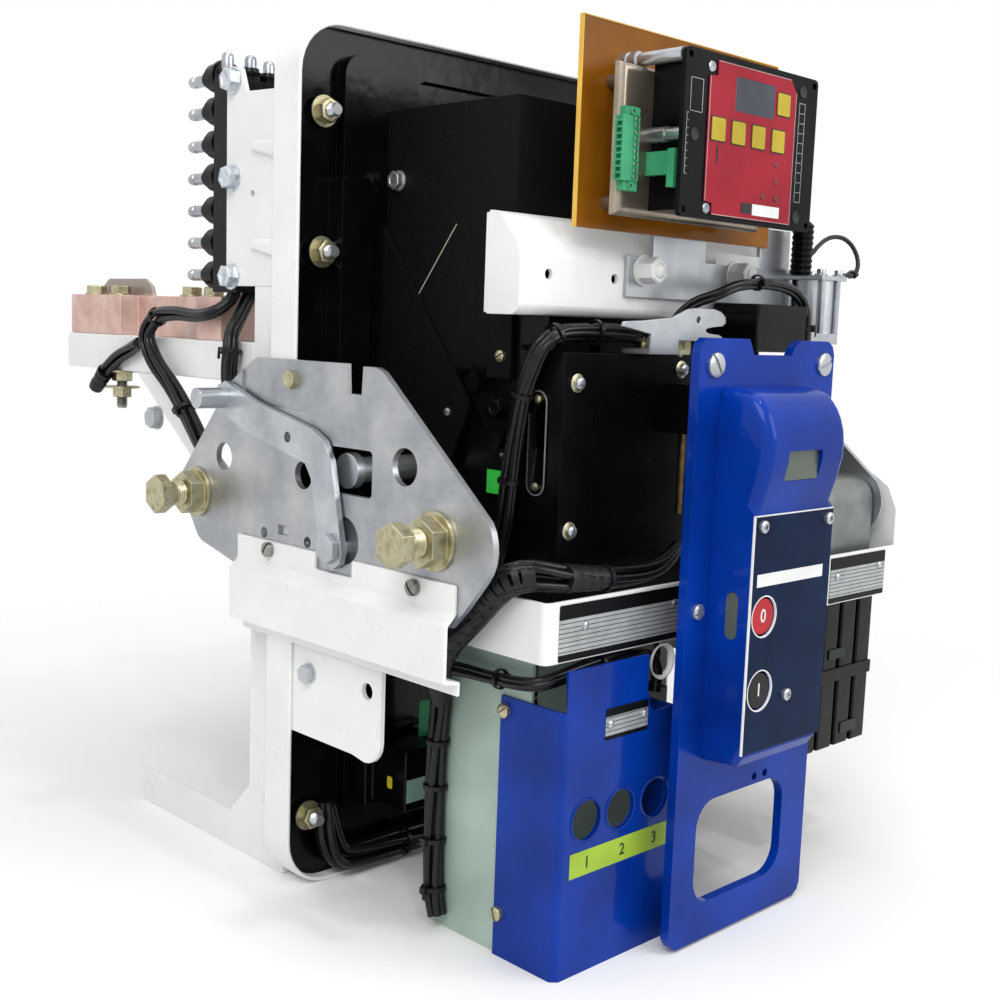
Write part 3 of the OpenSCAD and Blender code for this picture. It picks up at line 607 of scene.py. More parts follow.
def slab(name, low, high, corner=0, edge=0.15):
    """A block between two corners, its outline rounded by corner and all its edges by edge."""
    size = [b - a for a, b in zip(low, high)]
    middle = [(a + b) / 2000 for a, b in zip(low, high)]
    piece = begin("cube", name, size=0.001, location=middle, scale=size)
    if corner:
        thin = size.index(min(size))
        bend(piece, corner, 4, lambda line: abs(
            (line.verts[1].co - line.verts[0].co).normalized()[thin]) > 0.9)
    round_edges(piece, edge)
    return piece


washer_thick = 0.8
box_screws = spots("front", -155, (-107, 330, 30), (-109, 246, 65), (-14, 338))
fit(turned("star_washer", [(0, 0), (5.2, 0), (5.4, 0.5), (4.6, 0.9), (0, 0.9)], 20), "box_star_washers",
    box_screws, straw_zinc)
fit(slot_screw("box_screw", 3.5, 2.4), "box_screws",
    [(x, y - washer_thick, z, way, twist) for x, y, z, way, twist in box_screws], bright_zinc)
brass = chromate_plate("dull_brass_strip", "yellow_zinc",
                       [(0.3, "#6F5F3A"), (0.5, "#8F7C4E"), (0.7, "#A5905C")])
keep(slab("box_brass_strip", (-11, -156.2, 249), (-7.5, -154.8, 325), 0.6), brass)
silver_line = zinc_plate("bright_plate_rim", "zinc_steel", "#C9CACB", "#9A9B9C", 0.4, 0.3)
rim = slab("box_plate_rim", (-119.4, -144.2, 264.8), (-119, -129.8, 325.2), 6.9, 0.08)
bpy.ops.object.mode_set(mode="EDIT")
choose(rim, lambda middle, normal: normal.x < -0.9)
bpy.ops.mesh.inset(thickness=0.0008, depth=-0.0003)
bpy.ops.object.mode_set(mode="OBJECT")
keep(rim, silver_line)
rim.data.materials.append(black_enamel[0])
for face in rim.data.polygons:
    middle = face.center * 1000
    if face.normal.x < -0.9 and middle.x > -119.3:
        face.material_index = 1
fit(rivet, "linkage_rivets", spots("left", -120.8, (-74, 238))
    + spots("left", -117.1, (-112, 233), (-108, 286)) + spots("left", -119.1, (-137, 320), (-137, 270)),
    straw_zinc)
fit(bolt_m6, "linkage_bolts", spots("left", -117.1, (-104, 313, 20), (-112, 250, 50)), black_enamel)
leaf_green = enamel("leaf_green_paper_sticker", "grey_green_paint", "#3FD84F", "#35C445", 0.55)
keep(slab("frame_sheet_sticker", (-117.3, -118, 262), (-117, -95, 276)), leaf_green)
keep(slab("chromate_lug", (-44, -150, 344), (1, -147.5, 359), 6), straw_zinc)
fit(bolt_m6, "chromate_lug_bolts", spots("front", -150, (-16.5, 351, 10), (-41, 352, 35)), straw_zinc)


# ---- Mechanism tray and nameplates ----
# A folded white tray under the mechanism. Its aluminium nameplates are etched with black bands and ruled
# lines, held by small rivets, and otherwise left bare.
soften("mechanism_tray", white_enamel, 0.8, 3, bends=[
    (5, lambda a, b: abs(a.x + 158) < 0.1 > abs(b.x + 158) and abs(a.y + 187) < 0.1 > abs(b.y + 187)),
    (2.6, lambda a, b: abs(a.x + 155.5) < 0.1 > abs(b.x + 155.5) and
     abs(a.y + 184.5) < 0.1 > abs(b.y + 184.5))])


def etched_plate(name, low, high):
    """Satin aluminium between heights low and high: black bands at both ends, ruled lines between."""
    material, tree, shader, place = new_finish(name, Metallic=0.35, Roughness=0.4, Specular_IOR_Level=0.15)
    height = add(tree, "SeparateXYZ", {0: place}, "Z")
    share = add(tree, "MapRange", {"Value": height, "From Min": low, "From Max": high})
    bands = add(tree, "ValToRGB", {0: share}, stops=[(0, "#101113"), (0.12, "#C3C7C8"), (0.74, "#101113")])
    bands.node.color_ramp.interpolation = "CONSTANT"
    half_pitch, half_line = 1.3, 0.22
    rows = add(tree, "Math", {0: height, 1: half_pitch}, operation="PINGPONG")
    lines = add(tree, "Math", {0: rows, 1: half_line}, operation="LESS_THAN")
    ruled = blend(tree, lines, bands, hex_colour("#17181A"))
    smear = noise(tree, place, 0.08, 4)
    feed(shader, {"Base Color": blend(tree, smear, ruled, hex_colour("#B4B6B4"), blend_type="MULTIPLY")})
    return material, "bare_aluminium"


tray_plate = etched_plate("etched_aluminium_nameplate", 182, 213)
tray_plate_front = -187.7
for way, low, high in (("left", -148, -43), ("right", 118, 188)):
    keep(slab("tray_nameplate_" + way, (low, tray_plate_front, 182), (high, -187, 213), 0.8), tray_plate)
fit(rivet, "nameplate_rivets",
    spots("front", tray_plate_front, (-128, 200), (-50, 203), (180, 203), (126, 200)), bright_zinc)
eye = turned("tray_wire_eye", [(8.6, 0), (9.4, 0.3), (10.4, 1.6), (10.8, 3), (10.2, 3), (9.4, 2.2),
                               (8.6, 1)], 32)
fit(eye, "tray_wire_eyes", spots("front", -184, (-57, 169)), white_enamel)


# ---- Motor cover and lower cover ----
# The motor cover is drawn aluminium, left bare: satin, with fine lengthwise scratches. The lower cover is
# folded steel in royal blue gloss enamel with rolled lips round its three holes, between side panels in
# grey-green hammer paint.
aluminium = zinc_plate("satin_aluminium_sheet", "bare_aluminium", "#8E9392", "#6B706F", 0.38, 0.3)
soften("motor_cover", aluminium, 3.0, 4)
blue_enamel = grained("royal_blue_gloss_enamel", "blue_paint", (0.015, 3),
                      [(0.35, "#02287C"), (0.65, "#03369C")], 0.26, (0.1, 0.0005, (0.35, 1)), IOR=1.5,
                      Specular_IOR_Level=0.06, Coat_Weight=0.24, Coat_Roughness=0.04)
shader = blue_enamel[0].node_tree.nodes["Principled BSDF"]
feed(shader, {"Coat Normal": shader.inputs["Normal"].links[0].from_socket})
soften("lower_cover", blue_enamel, 0.8, 3, bends=[
    (4, lambda a, b: abs(a.x + 146) < 0.1 > abs(b.x + 146) and abs(a.y + 192) < 0.1 > abs(b.y + 192)),
    (2, lambda a, b: abs(a.x + 144) < 0.1 > abs(b.x + 144) and abs(a.y + 190) < 0.1 > abs(b.y + 190) and
     max(a.z, b.z) < 160)])
grey_paint = enamel("grey_green_hammer_paint", "grey_green_paint", "#A3B6AC", "#91A49A", 0.45)
soften("side_panels", grey_paint, 0.5)
fit(slot_screw("cover_screw", 4.2, 3), "cover_screws",
    spots("left", -146, (-147, 146, 40), (-147, 26, 110)), straw_zinc)
cover_plate = etched_plate("etched_aluminium_rating_plate", 133, 151)
keep(slab("cover_nameplate", (-112, -192.5, 133), (-75.5, -192, 151), 0.6), cover_plate)
fit(rivet, "cover_plate_rivets", spots("front", -192.5, (-108.5, 142), (-79, 143)), bright_zinc)
cover_front, hole_z = -192, 90
hole_lip = turned("hole_lip", [(11.3, 0), (12.6, 0), (12.9, 0.3), (12.2, 0.9), (11.4, 0.6)], 40)
fit(hole_lip, "cover_hole_lips", spots("front", cover_front, *((x, hole_z) for x in (-125, -96, -66))),
    blue_enamel)


# ---- Pole strip ----
# A yellow-green vinyl strip under the three holes. Plain black numbers stand for the three poles.
def vinyl(name, slot, light, dark, rough, shine=0.35):
    """Printed or moulded plastic: even satin colour with a broad faint fade and a very fine grain."""
    return grained(name, slot, (0.03, 2), [(0.35, dark), (0.65, light)], rough, (0.05, 0.0001, (2.2, 1)),
                   IOR=1.48, Specular_IOR_Level=shine)


def number(text, name, x, y, z, size, thick):
    """One plain numeral facing the front, cut out of thin film; its middle at x and z."""
    bpy.ops.object.text_add(location=(0, 0, 0))
    mark = bpy.context.object
    mark.data.body = text
    mark.data.size = size / 1000
    mark.data.align_x = "CENTER"
    mark.data.align_y = "CENTER"
    mark.data.extrude = thick / 2000
    mark.data.resolution_u = 4
    bpy.ops.object.convert(target="MESH")
    mark = bpy.context.object
    mark.name = name
    upright = Matrix.Translation((x / 1000, y / 1000, z / 1000)) @ Matrix.Rotation(math.pi / 2, 4, "X")
    mark.data.transform(upright)
    return mark


yellow_vinyl = vinyl("yellow_green_vinyl", "grey_green_paint", "#9CBA3C", "#8BA734", 0.4, 0.2)
keep(slab("pole_strip", (-137, -192.3, 58), (-51, -192, 72.5)), yellow_vinyl)
print_black = vinyl("black_print", "black_moulding", "#151719", "#0E1012", 0.5)
digits = [number(text, "pole_number", x, -192.4, 65, 10, 0.3)
          for text, x in (("1", -123), ("2", -93), ("3", -64.5))]
keep(join(digits, "pole_numbers"), (print_black[0], "black_paint"))


# ---- Current sensors and auxiliary switch ----
# Black moulded blocks like the base, with a soft gloss. The switch decks have rounded corners, a belt and
# two grey tabs; a pale label and a yellow mark, both bare, sit on the left sensor.
for name in ("current_sensors", "relay_block"):
    soften(name, phenolic, 1.2, 3)
keep(slab("relay_lid", (29.4, -178.7, 373.6), (84.6, -143.4, 379.6), 2, 0.6), phenolic)
soften("auxiliary_switch", phenolic, 2.2, 4)
tabs = [slab("tab", (131, -183, 140), (151, -182, 147), 1),
        slab("tab", (152, -183, 84), (172, -182, 92), 1)]
switch_grey = vinyl("dark_grey_switch_tab", "black_moulding", "#2C3330", "#232826", 0.4, 0.15)
keep(join(tabs, "switch_tabs"), switch_grey)
keep(slab("switch_belt", (102.5, -183.2, 124), (186.1, -182, 133), 1), phenolic)
pale_label = vinyl("pale_green_paper_label", "grey_green_paint", "#9DBFB2", "#87A89B", 0.6)
keep(slab("sensor_label", (-130, -45.4, 58), (-94, -45, 73)), pale_label)
yellow_mark = vinyl("yellow_lacquer_mark", "yellow_zinc", "#D8CB2A", "#B9AC1E", 0.5)
keep(slab("sensor_mark", (-131.3, -32, 64), (-131, -27, 72), 1.5), yellow_mark)
green_gel = vinyl("green_insulating_sheet", "green_plug", "#3FB97C", "#1F8A55", 0.3)
keep(slab("sensor_insulating_sheet", (-104, -26, 90), (-82, -25, 116), 2), green_gel)


# ---- Blue operating panel ----
# Pressed steel in the same blue gloss enamel: a plate whose loop handle has fully rounded edges, and a
# raised housing with a soft nose. Two large slotted screws hold the plate at its shoulders.
def cheek(a, b):
    """True for an edge that lies in one of the housing's two cheeks and reaches its front."""
    return a.x == b.x and min(abs(a.x + 51), abs(a.x - 28)) < 0.01 and a.y + b.y < -427


soften("panel_housing", blue_enamel, 1.2, 3, 30, bends=[
    (6.5, lambda a, b: cheek(a, b) and min(a.z, b.z) > 261 and max(a.y, b.y) < -212),
    (5, lambda a, b: cheek(a, b) and max(a.z, b.z) < 123)])
soften("panel_plate", blue_enamel, 2.6, 4, 20)
panel_front = -213
case_black = moulded_black("black_polycarbonate_case", 0.26, 0.08, 0.09)
soften("panel_indicator", case_black, 0.7)
fit(slot_screw("panel_screw", 7, 2), "panel_screws",
    spots("front", panel_front, (-58, 343, 125), (51, 344, 20)), bright_zinc)
fit(slot_screw("small_screw", 4.6, 2), "panel_small_screws", spots("front", panel_front, (-62, 204, 20)),
    bright_zinc)


def window_glass():
    """Acrylic sheet, hazed and yellowed green by years of wiping."""
    material, tree, shader, place = new_finish("hazed_acrylic_window", IOR=1.49, Transmission_Weight=0.55)
    wipe = noise(tree, place, 0.3, 5)
    feed(shader, {"Base Color": hex_colour("#6F7B70"), "Roughness": span(tree, wipe, 0.1, 0.35)})
    return material, "black_moulding"


def spring_flag():
    """The indicator behind the window: grey-green flag with a dark coil beside it."""
    material, tree, shader, place = new_finish("grey_green_indicator_flag", Roughness=0.5)
    half_turn = 2.4
    across = add(tree, "SeparateXYZ", {0: place}, "X")
    coil = add(tree, "Math", {0: across, 1: half_turn}, operation="PINGPONG")
    coil = add(tree, "MapRange", {"Value": coil, "From Max": half_turn})
    tone = add(tree, "ValToRGB", {0: coil}, stops=[(0.2, "#141814"), (0.8, "#5E6B52")])
    feed(shader, {"Base Color": blend(tree, noise(tree, place, 0.4, 4), tone, hex_colour("#8C9886"))})
    return material, "black_moulding"


keep(slab("indicator_flag", (-29, -229.4, 280.5), (-1, -228.6, 296.5), 0.5), spring_flag())
hazed_acrylic = window_glass()
keep(slab("window_pane", (-31.8, -245.1, 280.2), (1.8, -244.3, 296.8), 1), hazed_acrylic)
keep(slab("slot_pane", (-51.5, -233, 189.5), (-50.9, -225, 216.5), 3.9, 0.1), hazed_acrylic)


# ---- Legend plate and push buttons ----
# An engraving laminate in dark navy whose cut edges show its white core. Its maker's words are left out:
# the strip is bare, and the red and black moulded buttons carry a plain 0 and 1.
navy_laminate = vinyl("navy_engraving_laminate", "navy_legend", "#081F42", "#051733", 0.3, 0.07)
soften("panel_legend", navy_laminate, 0.15)
white_core = vinyl("white_laminate_core", "white_paint", "#E4E6E6", "#D6D8D8", 0.45)
keep(slab("legend_left_edge", (-51.15, -241.25, 124), (-50.1, -240, 261)), white_core)
keep(slab("legend_top_edge", (-51, -241.25, 260.4), (28, -240, 261.15)), white_core)
keep(slab("legend_bare_strip", (-46, -241.4, 220.5), (20, -241.2, 227.8)), white_core)
ring = turned("legend_ring", [(11.5, 0), (12.2, 0), (12.2, 1.3), (12, 1.35), (11.5, 1.3), (11.5, 0)], 48)
fit(ring, "legend_hole_rings", spots("front", -240, (-37, 203), (-37, 160)), white_core)
fit(slot_screw("legend_screw", 3.6, 2.2, "cross"), "legend_screws",
    spots("front", -241.2, (-44, 255, 20), (22, 255, 50), (-11.4, 154, 70)), bright_zinc)
button_red = vinyl("red_moulded_button", "red_button", "#B81420", "#A00F1A", 0.25, 0.3)
button_black = vinyl("black_moulded_button", "black_moulding", "#0B0B0E", "#070709", 0.25, 0.25)
button_x, mark_front = -37, -240.6
for button, finish in (("trip_button", button_red), ("close_button", button_black)):
    soften(button, finish, 1.2, 3, body=button + "_body")
for button, digit, z in (("trip_button", "0", 203), ("close_button", "1", 160)):
    mark = number(digit, button + "_mark", button_x, mark_front, z, 11, 0.2)
    keep(mark, white_core, button + "_body")


# ---- Trip unit and its sheet ----
# An amber sheet, glass cloth in clear glossy resin with pale sawn edges, stands on a zinc bracket that
# white nylon cap nuts hold to the beam. It carries an aluminium base, a black case and a red overlay with
# a dark display, five yellow keys and four lamps.
for name in ("trip_unit_bracket", "catch_plate"):
    soften(name, bright_zinc, 0.5)
amber = grained("amber_glass_laminate", "amber_board", (0.012, 3),
                [(0.3, "#683C0A"), (0.5, "#7F4C0C"), (0.72, "#985F14")], 0.16,
                (0.08, 0.0002, (0.9, 2)), IOR=1.54, Specular_IOR_Level=0.16)
soften("insulating_sheet", amber, 0.4)
edge_amber = vinyl("pale_sawn_laminate_edge", "amber_board", "#E3B956", "#CF9F3C", 0.5)
keep(slab("sheet_top_edge", (-104, -146, 531.2), (82, -143, 532.3), 0, 0.1), edge_amber)
keep(slab("sheet_left_edge", (-104.3, -146, 417), (-103.4, -143, 532), 0, 0.1), edge_amber)
drawn_can = zinc_plate("burnished_drawn_aluminium", "bare_aluminium", "#A89D8D", "#7D7264", 0.3, 0.2)
soften("trip_unit_base", drawn_can, 0.6, 3, bends=[(5, lambda a, b: a.y + b.y < -331.9)])
soften("trip_unit_case", case_black, 0.9, 3)
soften("trip_unit_face", vinyl("red_printed_overlay", "red_face", "#982030", "#871A28", 0.34, 0.12), 0.2)
nylon = vinyl("white_nylon", "white_paint", "#DCDDDC", "#CBCCCB", 0.3)
bracket_nuts = spots("front", -143, (-40, 396, 5), (51, 398, 20))
fit(hex_head("cap_nut", 14, 11, 9.5), "bracket_cap_nuts", bracket_nuts, nylon)
dome = turned("dome", [(0, 10), (5.2, 10), (5.2, 12), (4.6, 13.4), (2.8, 14.4), (0, 14.8)])
fit(dome, "bracket_nut_domes", bracket_nuts, nylon)
keep(slab("bracket_bare_label", (30, -143.3, 404), (77, -143, 411)), nylon)
spacer = turned("spacer", [(0, 0), (5, 0), (5, 5), (4.2, 5.6), (4.2, 7), (5, 7.6), (5, 12), (3.8, 12.8),
                           (3.8, 44), (0, 44)])
fit(spacer, "case_spacer_top", spots("front", -146, (-70, 511), (54, 511)), nickel)
case_front, face_front = -193, -194
post = turned("post", [(0, 0), (4.4, 0), (4.4, 14), (3.6, 14.4), (3.6, 24), (0, 24)])
fit(post, "case_spacer_side", spots("front", -166, (-68.5, 469)), nickel)
bush = turned("bush", [(0, 0), (2.9, 0), (3, 0.5), (2.6, 1), (1.7, 1), (1.5, 0.5), (0, 0.5)])
fit(bush, "face_bushes", spots("front", case_front, (-49.5, 507), (-48.5, 430)), nickel)
eyelet = turned("eyelet", [(0, 0), (3.4, 0), (3.6, 0.3), (3.2, 0.5), (2.6, 0.3), (0, 0.25)])
fit(eyelet, "case_eyelets", spots("front", case_front, (-62, 469), (41, 506), (41, 432)), print_black)


def film(name, rows, finish, depths, corner, edge):
    """Flat prints or keys on the trip unit: rows of low x and z, then high x and z, between two depths."""
    back, front = depths
    prints = [slab("print", (x, front, z), (x2, back, z2), corner, edge) for x, z, x2, z2 in rows]
    keep(join(prints, name), finish)


keys = [(-42, 474), (-23, 474), (-3.5, 474), (16.3, 474), (20, 495.5)]
film("key_rims", [(x - 7, z - 7, x + 7, z + 7) for x, z in keys], print_black, (-194, -194.25), 1.2, 0.05)
key_yellow = vinyl("yellow_membrane_key", "red_face", "#B39F33", "#A08C2B", 0.4, 0.15)
film("membrane_keys", [(x - 6.3, z - 6.3, x + 6.3, z + 6.3) for x, z in keys], key_yellow,
     (-194.2, -194.7), 1, 0.2)
display = vinyl("grey_display_glass", "black_moulding", "#40434E", "#34363F", 0.12)
keep(slab("display_glass", (-27, -193.9, 486), (11, -193.4, 505)), display)
fit(turned("lamp", [(0, 0), (1.9, 0), (1.8, 0.4), (0, 0.7)], 16), "fault_lamps",
    spots("front", face_front, (16.2, 460.6), (16.2, 450.7), (3.9, 441), (17.3, 441)),
    vinyl("dark_red_lamp", "red_face", "#6E2A33", "#55202A", 0.2))
marks = [slab("mark", (-42.6, -194.2, 455.5), (-41, -194, 465), 0.4, 0.05),
         slab("mark", (-16.4, -194.3, 430), (-6.5, -194, 436), 0.3, 0.05)]
keep(join(marks, "face_dark_marks"), print_black)
pale_edge = vinyl("pale_cut_overlay_edge", "red_face", "#B58C90", "#9A7578", 0.4)
film("face_cut_edges", [(-44.2, 510.6, 27, 511.1), (32.6, 427, 33.1, 504), (-51.1, 434, -50.6, 502),
                        (-44, 426.9, 33, 427.4)], pale_edge, (-193.9, -194.2), 0, 0.05)
keep(slab("face_bare_label", (-5.5, -194.3, 429.6), (21.5, -194, 436), 0.3, 0.05), white_core)
lines = [(-67, 481, -56, 481.3), (-67, 498.8, -56, 499.1), (-67, 481, -66.7, 499), (-56.3, 481, -56, 499),
         (-69.5, 447, -69.2, 480), (38, 441, 38.3, 499), (44, 441, 44.3, 499)]
lines += [(-69.5, 447 + 4.1 * i, -67.4, 447.3 + 4.1 * i) for i in range(9)]
lines += [(38, 441 + 5.8 * i, 44.3, 441.3 + 5.8 * i) for i in range(11)]
print_grey = vinyl("grey_screen_print", "white_paint", "#A9ADAD", "#8F9393", 0.5)
film("case_print_lines", lines, print_grey, (-193, -193.2), 0, 0.03)

green_plastic = vinyl("green_polyamide", "green_plug", "#43A173", "#33875D", 0.42, 0.25)
soften("terminal_plugs", green_plastic, 0.12, 1)
plug_pitch = 3.5
ways = [(-85.4, 444.3 + plug_pitch * i, 25 * i) for i in range(10)]
fit(slot_screw("plug_screw", 1.4, 0.5), "plug_screws", spots("front", -170.9, *ways), plain_steel)
cup = turned("cup", [(1.5, 0), (1.7, 0.9), (1.9, 0.9), (2.1, 0), (1.5, 0)], 20)
fit(cup, "plug_screw_cups", spots("front", -171, *(way[:2] for way in ways)), green_plastic)
ear_ring = turned("ear_ring", [(1.4, 0), (1.4, 1.2), (2.3, 1.2), (2.5, 0), (1.4, 0)], 20)
fit(ear_ring, "plug_ear_rings", spots("front", -170.5, (-88.5, 479.6), (-88.5, 439.4)), green_plastic)
fit(slot_screw("ear_screw", 1.4, 0.4), "plug_ear_screws",
    spots("front", -170.5, (-88.5, 479.6, 40), (-88.5, 439.4, 95)), plain_steel)


# ---- Trip actuator ----
# A bright zinc solenoid under its flange, drawn together by four rods with cheese-head screws. A ribbed
# rubber sleeve stands at its left, where its leads come out.
soften("trip_actuator", bright_zinc, 0.5)
rod = turned("rod", [(0, 0), (1.9, 0), (1.9, 35), (0, 35)], 20)
fit(rod, "actuator_rods", [(x, y, 363, "up", 0) for x in (110.5, 128.5) for y in (-171.4, -146)], nickel)
rod_head = turned("rod_head", [(0, 0), (4.2, 0), (4.2, 0.8), (3, 1), (3, 3.6), (2.6, 4.2), (1.4, 4.2),
                               (1.2, 3), (0, 3)])
fit(rod_head, "actuator_screws", [(x, y, 401, "up", 0) for x in (111.5, 132.5) for y in (-169, -147.5)],
    nickel)
ribs = [(0, 401)] + [(7.2 if i % 2 else 6.4, 401 + 1.9 * i) for i in range(18)] + [(4.4, 436), (0, 436)]
sleeve = turned("actuator_sleeve", ribs)
sleeve.data.transform(Matrix.Translation((0.1085, -0.155, 0)))
keep(sleeve, case_black)


# ---- Wiring looms ----
# PVC-covered stranded wire, about 5 mm thick, laid side by side and held by black nylon ties. Each wire
# follows its loom's route at its own place in the bundle, and rolls slowly round its neighbours.
def smooth_route(points, spacing=6):
    """The loom's route, with its radius, filled in to a smooth run of close points."""
    rows = [Vector(point) for point in points]
    rows = [2 * rows[0] - rows[1]] + rows + [2 * rows[-1] - rows[-2]]
    run = []
    for a, b, c, d in zip(rows, rows[1:], rows[2:], rows[3:]):
        steps = max(2, round((c - b).length / spacing))
        for i in range(steps):
            t = i / steps
            run.append(0.5 * (2 * b + (c - a) * t + (2 * a - 5 * b + 4 * c - d) * t ** 2
                              + (3 * b - a - 3 * c + d) * t ** 3))
    return run + [rows[-2]]


def wire(name, points, radius):
    """One insulated wire along its points, with flat cut ends."""
    curve = bpy.data.curves.new(name, "CURVE")
    curve.dimensions = "3D"
    curve.bevel_depth = radius / 1000
    curve.bevel_resolution = 3
    curve.use_fill_caps = True
    line = curve.splines.new("POLY")
    line.points.add(len(points) - 1)
    for spot, point in zip(line.points, points):
        spot.co = (point[0] / 1000, point[1] / 1000, point[2] / 1000, 1)
    piece = bpy.data.objects.new(name, curve)
    bpy.context.collection.objects.link(piece)
    pick(piece)
    bpy.ops.object.convert(target="MESH")
    bpy.ops.object.shade_smooth_by_angle(angle=math.radians(50))
    return bpy.context.object


def bundle(name, route, count, thick, roll=0.006):
    """Wires laid round the loom's route, each rolling slowly about its middle."""
    run = smooth_route(route)
    strands = []
    for i in range(count):
        points = []
        walked = 0
        side = Vector((0, 0, 1))
        for k, row in enumerate(run):
            here = row.to_3d()
            ahead = run[min(k + 1, len(run) - 1)].to_3d()
            behind = run[max(k - 1, 0)].to_3d()
            way = (ahead - behind).normalized()
            side = (side - way * side.dot(way)).normalized()
            walked += (here - behind).length
            angle = i * math.tau / max(count - (count > 5), 1) + walked * roll
            angle += 0.35 * math.sin(walked * 0.021 + i * 2.1)
            out = 0 if count > 5 and i == count - 1 else max(row[3] - thick, 0.2)
            points.append(here + out * (math.cos(angle) * side + math.sin(angle) * way.cross(side)))
        strands.append(wire(name, points, thick))
    piece = join(strands, name)
    keep(piece, pvc)
    return piece


pvc = grained("black_pvc_wire_cover", "cable", (0.2, 4), [(0.4, "#09090B"), (0.75, "#17171A")], 0.25,
              IOR=1.5, Specular_IOR_Level=0.3)
# Each point of a route has its place and the radius of the bundle there.
loom_top = [(-22, -148, 351.5, 3), (-30, -147.5, 354.6, 4.2), (-44, -147, 356.6, 4.6),
            (-62, -146.4, 358.5, 6), (-84, -146, 358.6, 6.3), (-103, -145.4, 358.2, 6.2),
            (-115, -145, 356.4, 6), (-123.8, -142.6, 350, 5.9), (-125.4, -137, 338, 5.8),
            (-125.2, -130, 322, 5.8), (-125.2, -125, 297, 5.8), (-125.2, -122, 272, 5.8),
            (-125.2, -119, 246, 5.8), (-125.2, -112, 222, 5.8), (-125.2, -104.5, 200, 5.6),
            (-125.2, -101, 182, 5.6), (-126, -96, 166, 5.6), (-127, -92, 150, 5.6)]
loom_low = [(-30, -172, 233, 4), (-46, -176, 226, 5), (-68, -179, 222, 5.6), (-104, -179.4, 222.4, 6.6),
            (-136, -177.8, 225.4, 7.8), (-155, -172.4, 228, 9), (-164, -166, 226, 9.4),
            (-169, -156, 218, 10), (-170, -142, 204, 10.4), (-170.2, -122, 184, 10.2),
            (-163, -107, 165, 9), (-151, -98, 142, 6.8), (-149.8, -95, 116, 6.4), (-149.6, -94, 88, 6.4),
            (-149.6, -94, 55, 6.4), (-149.6, -95, 25, 6.4), (-149.6, -99, 9, 6)]
loom_front = [(-58, -183, 150, 3.5), (-56.5, -182, 163, 3.6), (-62, -180, 171.5, 4.2),
              (-80, -179.6, 174.6, 4.8), (-105, -179.4, 173.8, 4.8), (-126, -178.8, 171.6, 4.8),
              (-140, -177.2, 169.2, 4.8), (-148, -172, 167.2, 4.8), (-150.4, -162, 165.8, 4.8),
              (-150.4, -146, 164.6, 4.8), (-151, -128, 164, 4.8), (-154, -116, 164.4, 4.8),
              (-161, -108.6, 165, 4.6)]
loom_foot = [(-158, 1.6, 52, 6), (-157.6, -1.4, 32, 9), (-150, -2.4, 16, 9), (-134, -2.4, 12.2, 9),
             (-96, -2.4, 12.2, 9), (-50, -2.4, 12.2, 8.6), (0, -1, 11.4, 8.4), (60, -1, 11.4, 8.4)]
# The two rear looms leave the underside of the disconnect block.
loom_rear = [(-166, 101, 386, 4.2), (-167, 100.4, 375, 4.2), (-174, 100.4, 367, 4.2),
             (-180.4, 106, 362, 4.4), (-181.2, 124, 360, 4.6), (-181.8, 150, 361, 5.2),
             (-182.6, 172, 358, 5.8), (-182.6, 186, 345, 6), (-182.2, 176, 328, 6.2), (-181, 156, 312, 6),
             (-180.6, 138, 296, 6), (-180.6, 118, 276, 6), (-180.6, 100, 258, 6), (-180.6, 84, 240, 6)]
loom_branch = [(-181, 200, 339, 4.6), (-180, 212, 335, 5.4), (-179.6, 232, 328, 5.4),
               (-179.6, 252, 316, 5.2), (-179.8, 266, 304, 5)]
loom_back = [(-155, 97.4, 386, 5), (-157, 97, 374, 5), (-168, 91, 360, 5.2), (-178, 85, 349, 5.6),
             (-180.8, 82, 338, 6), (-180.8, 84, 322, 6), (-180.8, 80, 300, 6)]
for name, route, count, thick in (("top", loom_top, 5, 2.3), ("low", loom_low, 8, 2.4),
                                  ("front", loom_front, 4, 2.2),
                                  ("foot", loom_foot, 7, 3), ("rear", loom_rear, 5, 2.3),
                                  ("branch", loom_branch, 4, 2.4), ("back", loom_back, 5, 2.3)):
    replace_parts(bundle(f"loom_{name}_wires", route, count, thick), "wire_looms")


# ---- Loom ties, tape and the single cables ----
# Nylon ties draw the looms together, and overlapping turns of cotton tape cover the elbow. Three wires run
# from the top of the side box to the tray, a rubber riser goes from the actuator's sleeve behind the trip
# unit, and a braided lead earths the actuator's flange.
def tie_round(route, index, grow=0.2):
    """A nylon tie round a loom at one of its route's points, with its square head outward."""
    x, y, z, reach = route[index]
    reach += grow
    rim = reach + 0.9
    band = turned("band", [(reach, -1.3), (rim, -1.3), (rim, 1.3), (reach, 1.3), (reach, -1.3)], 28)
    head = begin("cube", "head", size=0.001, location=(-(reach + 1.4) / 1000, 0, 0), scale=(3.2, 4.6, 4.4))
    round_edges(head, 0.5)
    tail = begin("cube", "tail", size=0.001, location=(-(reach + 2.6) / 1000, 0.001, 0.003),
                 scale=(0.9, 2.2, 5))
    round_edges(tail, 0.3)
    whole = join([band, head, tail], "tie")
    ahead = Vector(route[min(index + 1, len(route) - 1)][:3]) - Vector(route[max(index - 1, 0)][:3])
    turn = ahead.normalized().to_track_quat("Z", "Y").to_matrix().to_4x4()
    whole.data.transform(Matrix.Translation((x / 1000, y / 1000, z / 1000)) @ turn)
    return whole


tie_nylon = vinyl("black_nylon_tie", "black_moulding", "#141416", "#0A0A0C", 0.3, 0.3)
keep(join([tie_round(route, i) for route, points in (
    (loom_top, (2, 4, 6, 9, 11)), (loom_low, (3, 12, 13, 14, 15)), (loom_rear, (6, 10)),
    (loom_branch, (3,)), (loom_back, (4,)), (loom_foot, (4, 5)),
    (loom_front, (4, 9))) for i in points], "loom_ties"), tie_nylon)


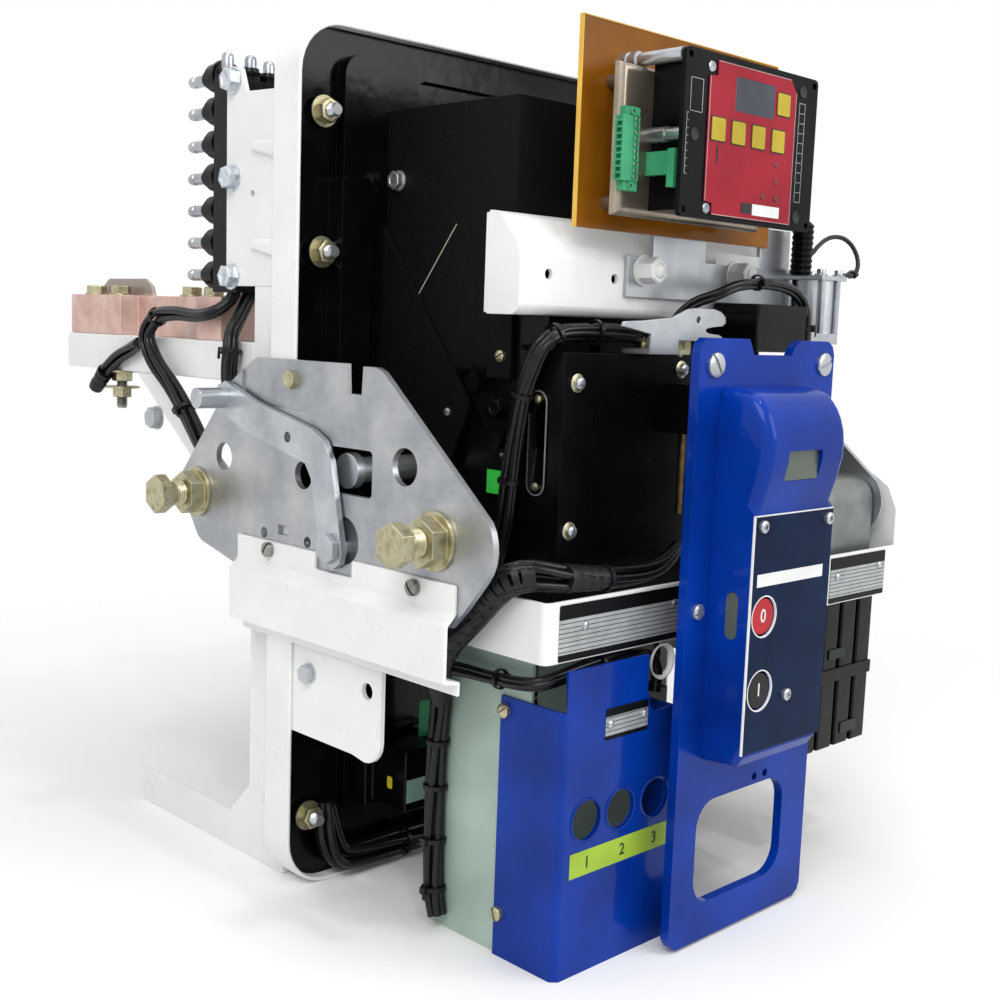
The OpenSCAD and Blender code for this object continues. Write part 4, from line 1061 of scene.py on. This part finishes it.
def tape():
    """Black cotton tape: matt, its turns lapping every 11 mm."""
    material, tree, shader, place = new_finish("black_cotton_tape", Roughness=0.42, Specular_IOR_Level=0.35)
    weave = noise(tree, place, 0.9, 3)
    laps = add(tree, "TexWave", {"Vector": place, "Scale": 0.028, "Distortion": 1.5, "Detail": 1}, "Fac",
               bands_direction="DIAGONAL", wave_profile="SAW")
    height = add(tree, "Mix", {0: 0.12, 2: laps, 3: weave})
    tone = add(tree, "ValToRGB", {0: weave}, stops=[(0.35, "#08080A"), (0.7, "#19191C")])
    feed(shader, {"Base Color": tone, "Normal": relief(tree, height, 0.7, 0.0012)})
    return material, "cable"


cotton = tape()
for name, route, first, last, grow in (("elbow_tape", loom_low, 5, 11, -0.4),
                                       ("low_loom_tape_front", loom_low, 3, 4, 0.2),
                                       ("rear_loom_end_tape", loom_branch, 3, 4, 0.3)):
    run = smooth_route(route[first:last + 1], 4)
    laps = [wire("turn", [a[:3], b[:3]], a[3] + grow + 0.35 * (i % 2))
            for i, (a, b) in enumerate(zip(run, run[1:]))]
    keep(join(laps, name), cotton)
supply = [(-20, -147, 353, 3), (-16, -149, 366, 3.6), (-9, -157, 378, 4), (0, -168, 384.4, 4.2),
          (14, -172, 390.2, 4.2), (35, -172.6, 392.6, 4.2), (59, -173, 392.2, 4.2), (77, -173, 388.2, 4.2),
          (88, -172.4, 379.6, 4.2), (91, -172.4, 366, 4.2), (91, -171, 346, 4.2), (95, -160, 318, 4.2),
          (99, -142, 280, 4.2), (102, -130, 240, 4.2), (104, -126, 187, 4.2)]
bundle("actuator_supply_wires", supply, 3, 2, 0.01)
keep(join([tie_round(supply, i, 0) for i in (5, 9, 12)], "supply_ties"), tie_nylon)
riser = [(108.5, -155, 430), (107, -155, 436), (101, -154, 441), (93.4, -153, 447), (91, -153, 456),
         (93.4, -153, 463.4), (88, -153, 469.4), (70, -154, 471), (50, -156, 471)]
lead = [(105.5, -156, 413), (114.9, -158, 415.1), (119.7, -159, 419.8), (127, -160, 425),
        (133.4, -162, 427.6), (142.7, -164, 427.5), (148.9, -167, 423.5), (152, -170, 416.3),
        (151, -172, 408.9), (147.7, -171.8, 403.6), (140, -170.4, 402.4), (133, -169.2, 402)]
for name, route, radius, finish in (("actuator_riser", riser, 3, pvc), ("earth_lead", lead, 1.5, cotton)):
    points = [tuple(row) for row in smooth_route(route, 3)]
    keep(wire(name, points, radius), finish)
fit(turned("ring", [(2.6, 0), (4.6, 0), (4.6, 0.8), (2.6, 0.8), (2.6, 0)], 24), "earth_lead_ring",
    [(132.5, -169, 401.2, "up", 0)], nickel)
keep(tie_round([point + (1.5,) for point in lead], 9), tie_nylon)


# The patterns that the small parts were copied from aren't part of the breaker.
for part in patterns:
    bpy.data.objects.remove(part)
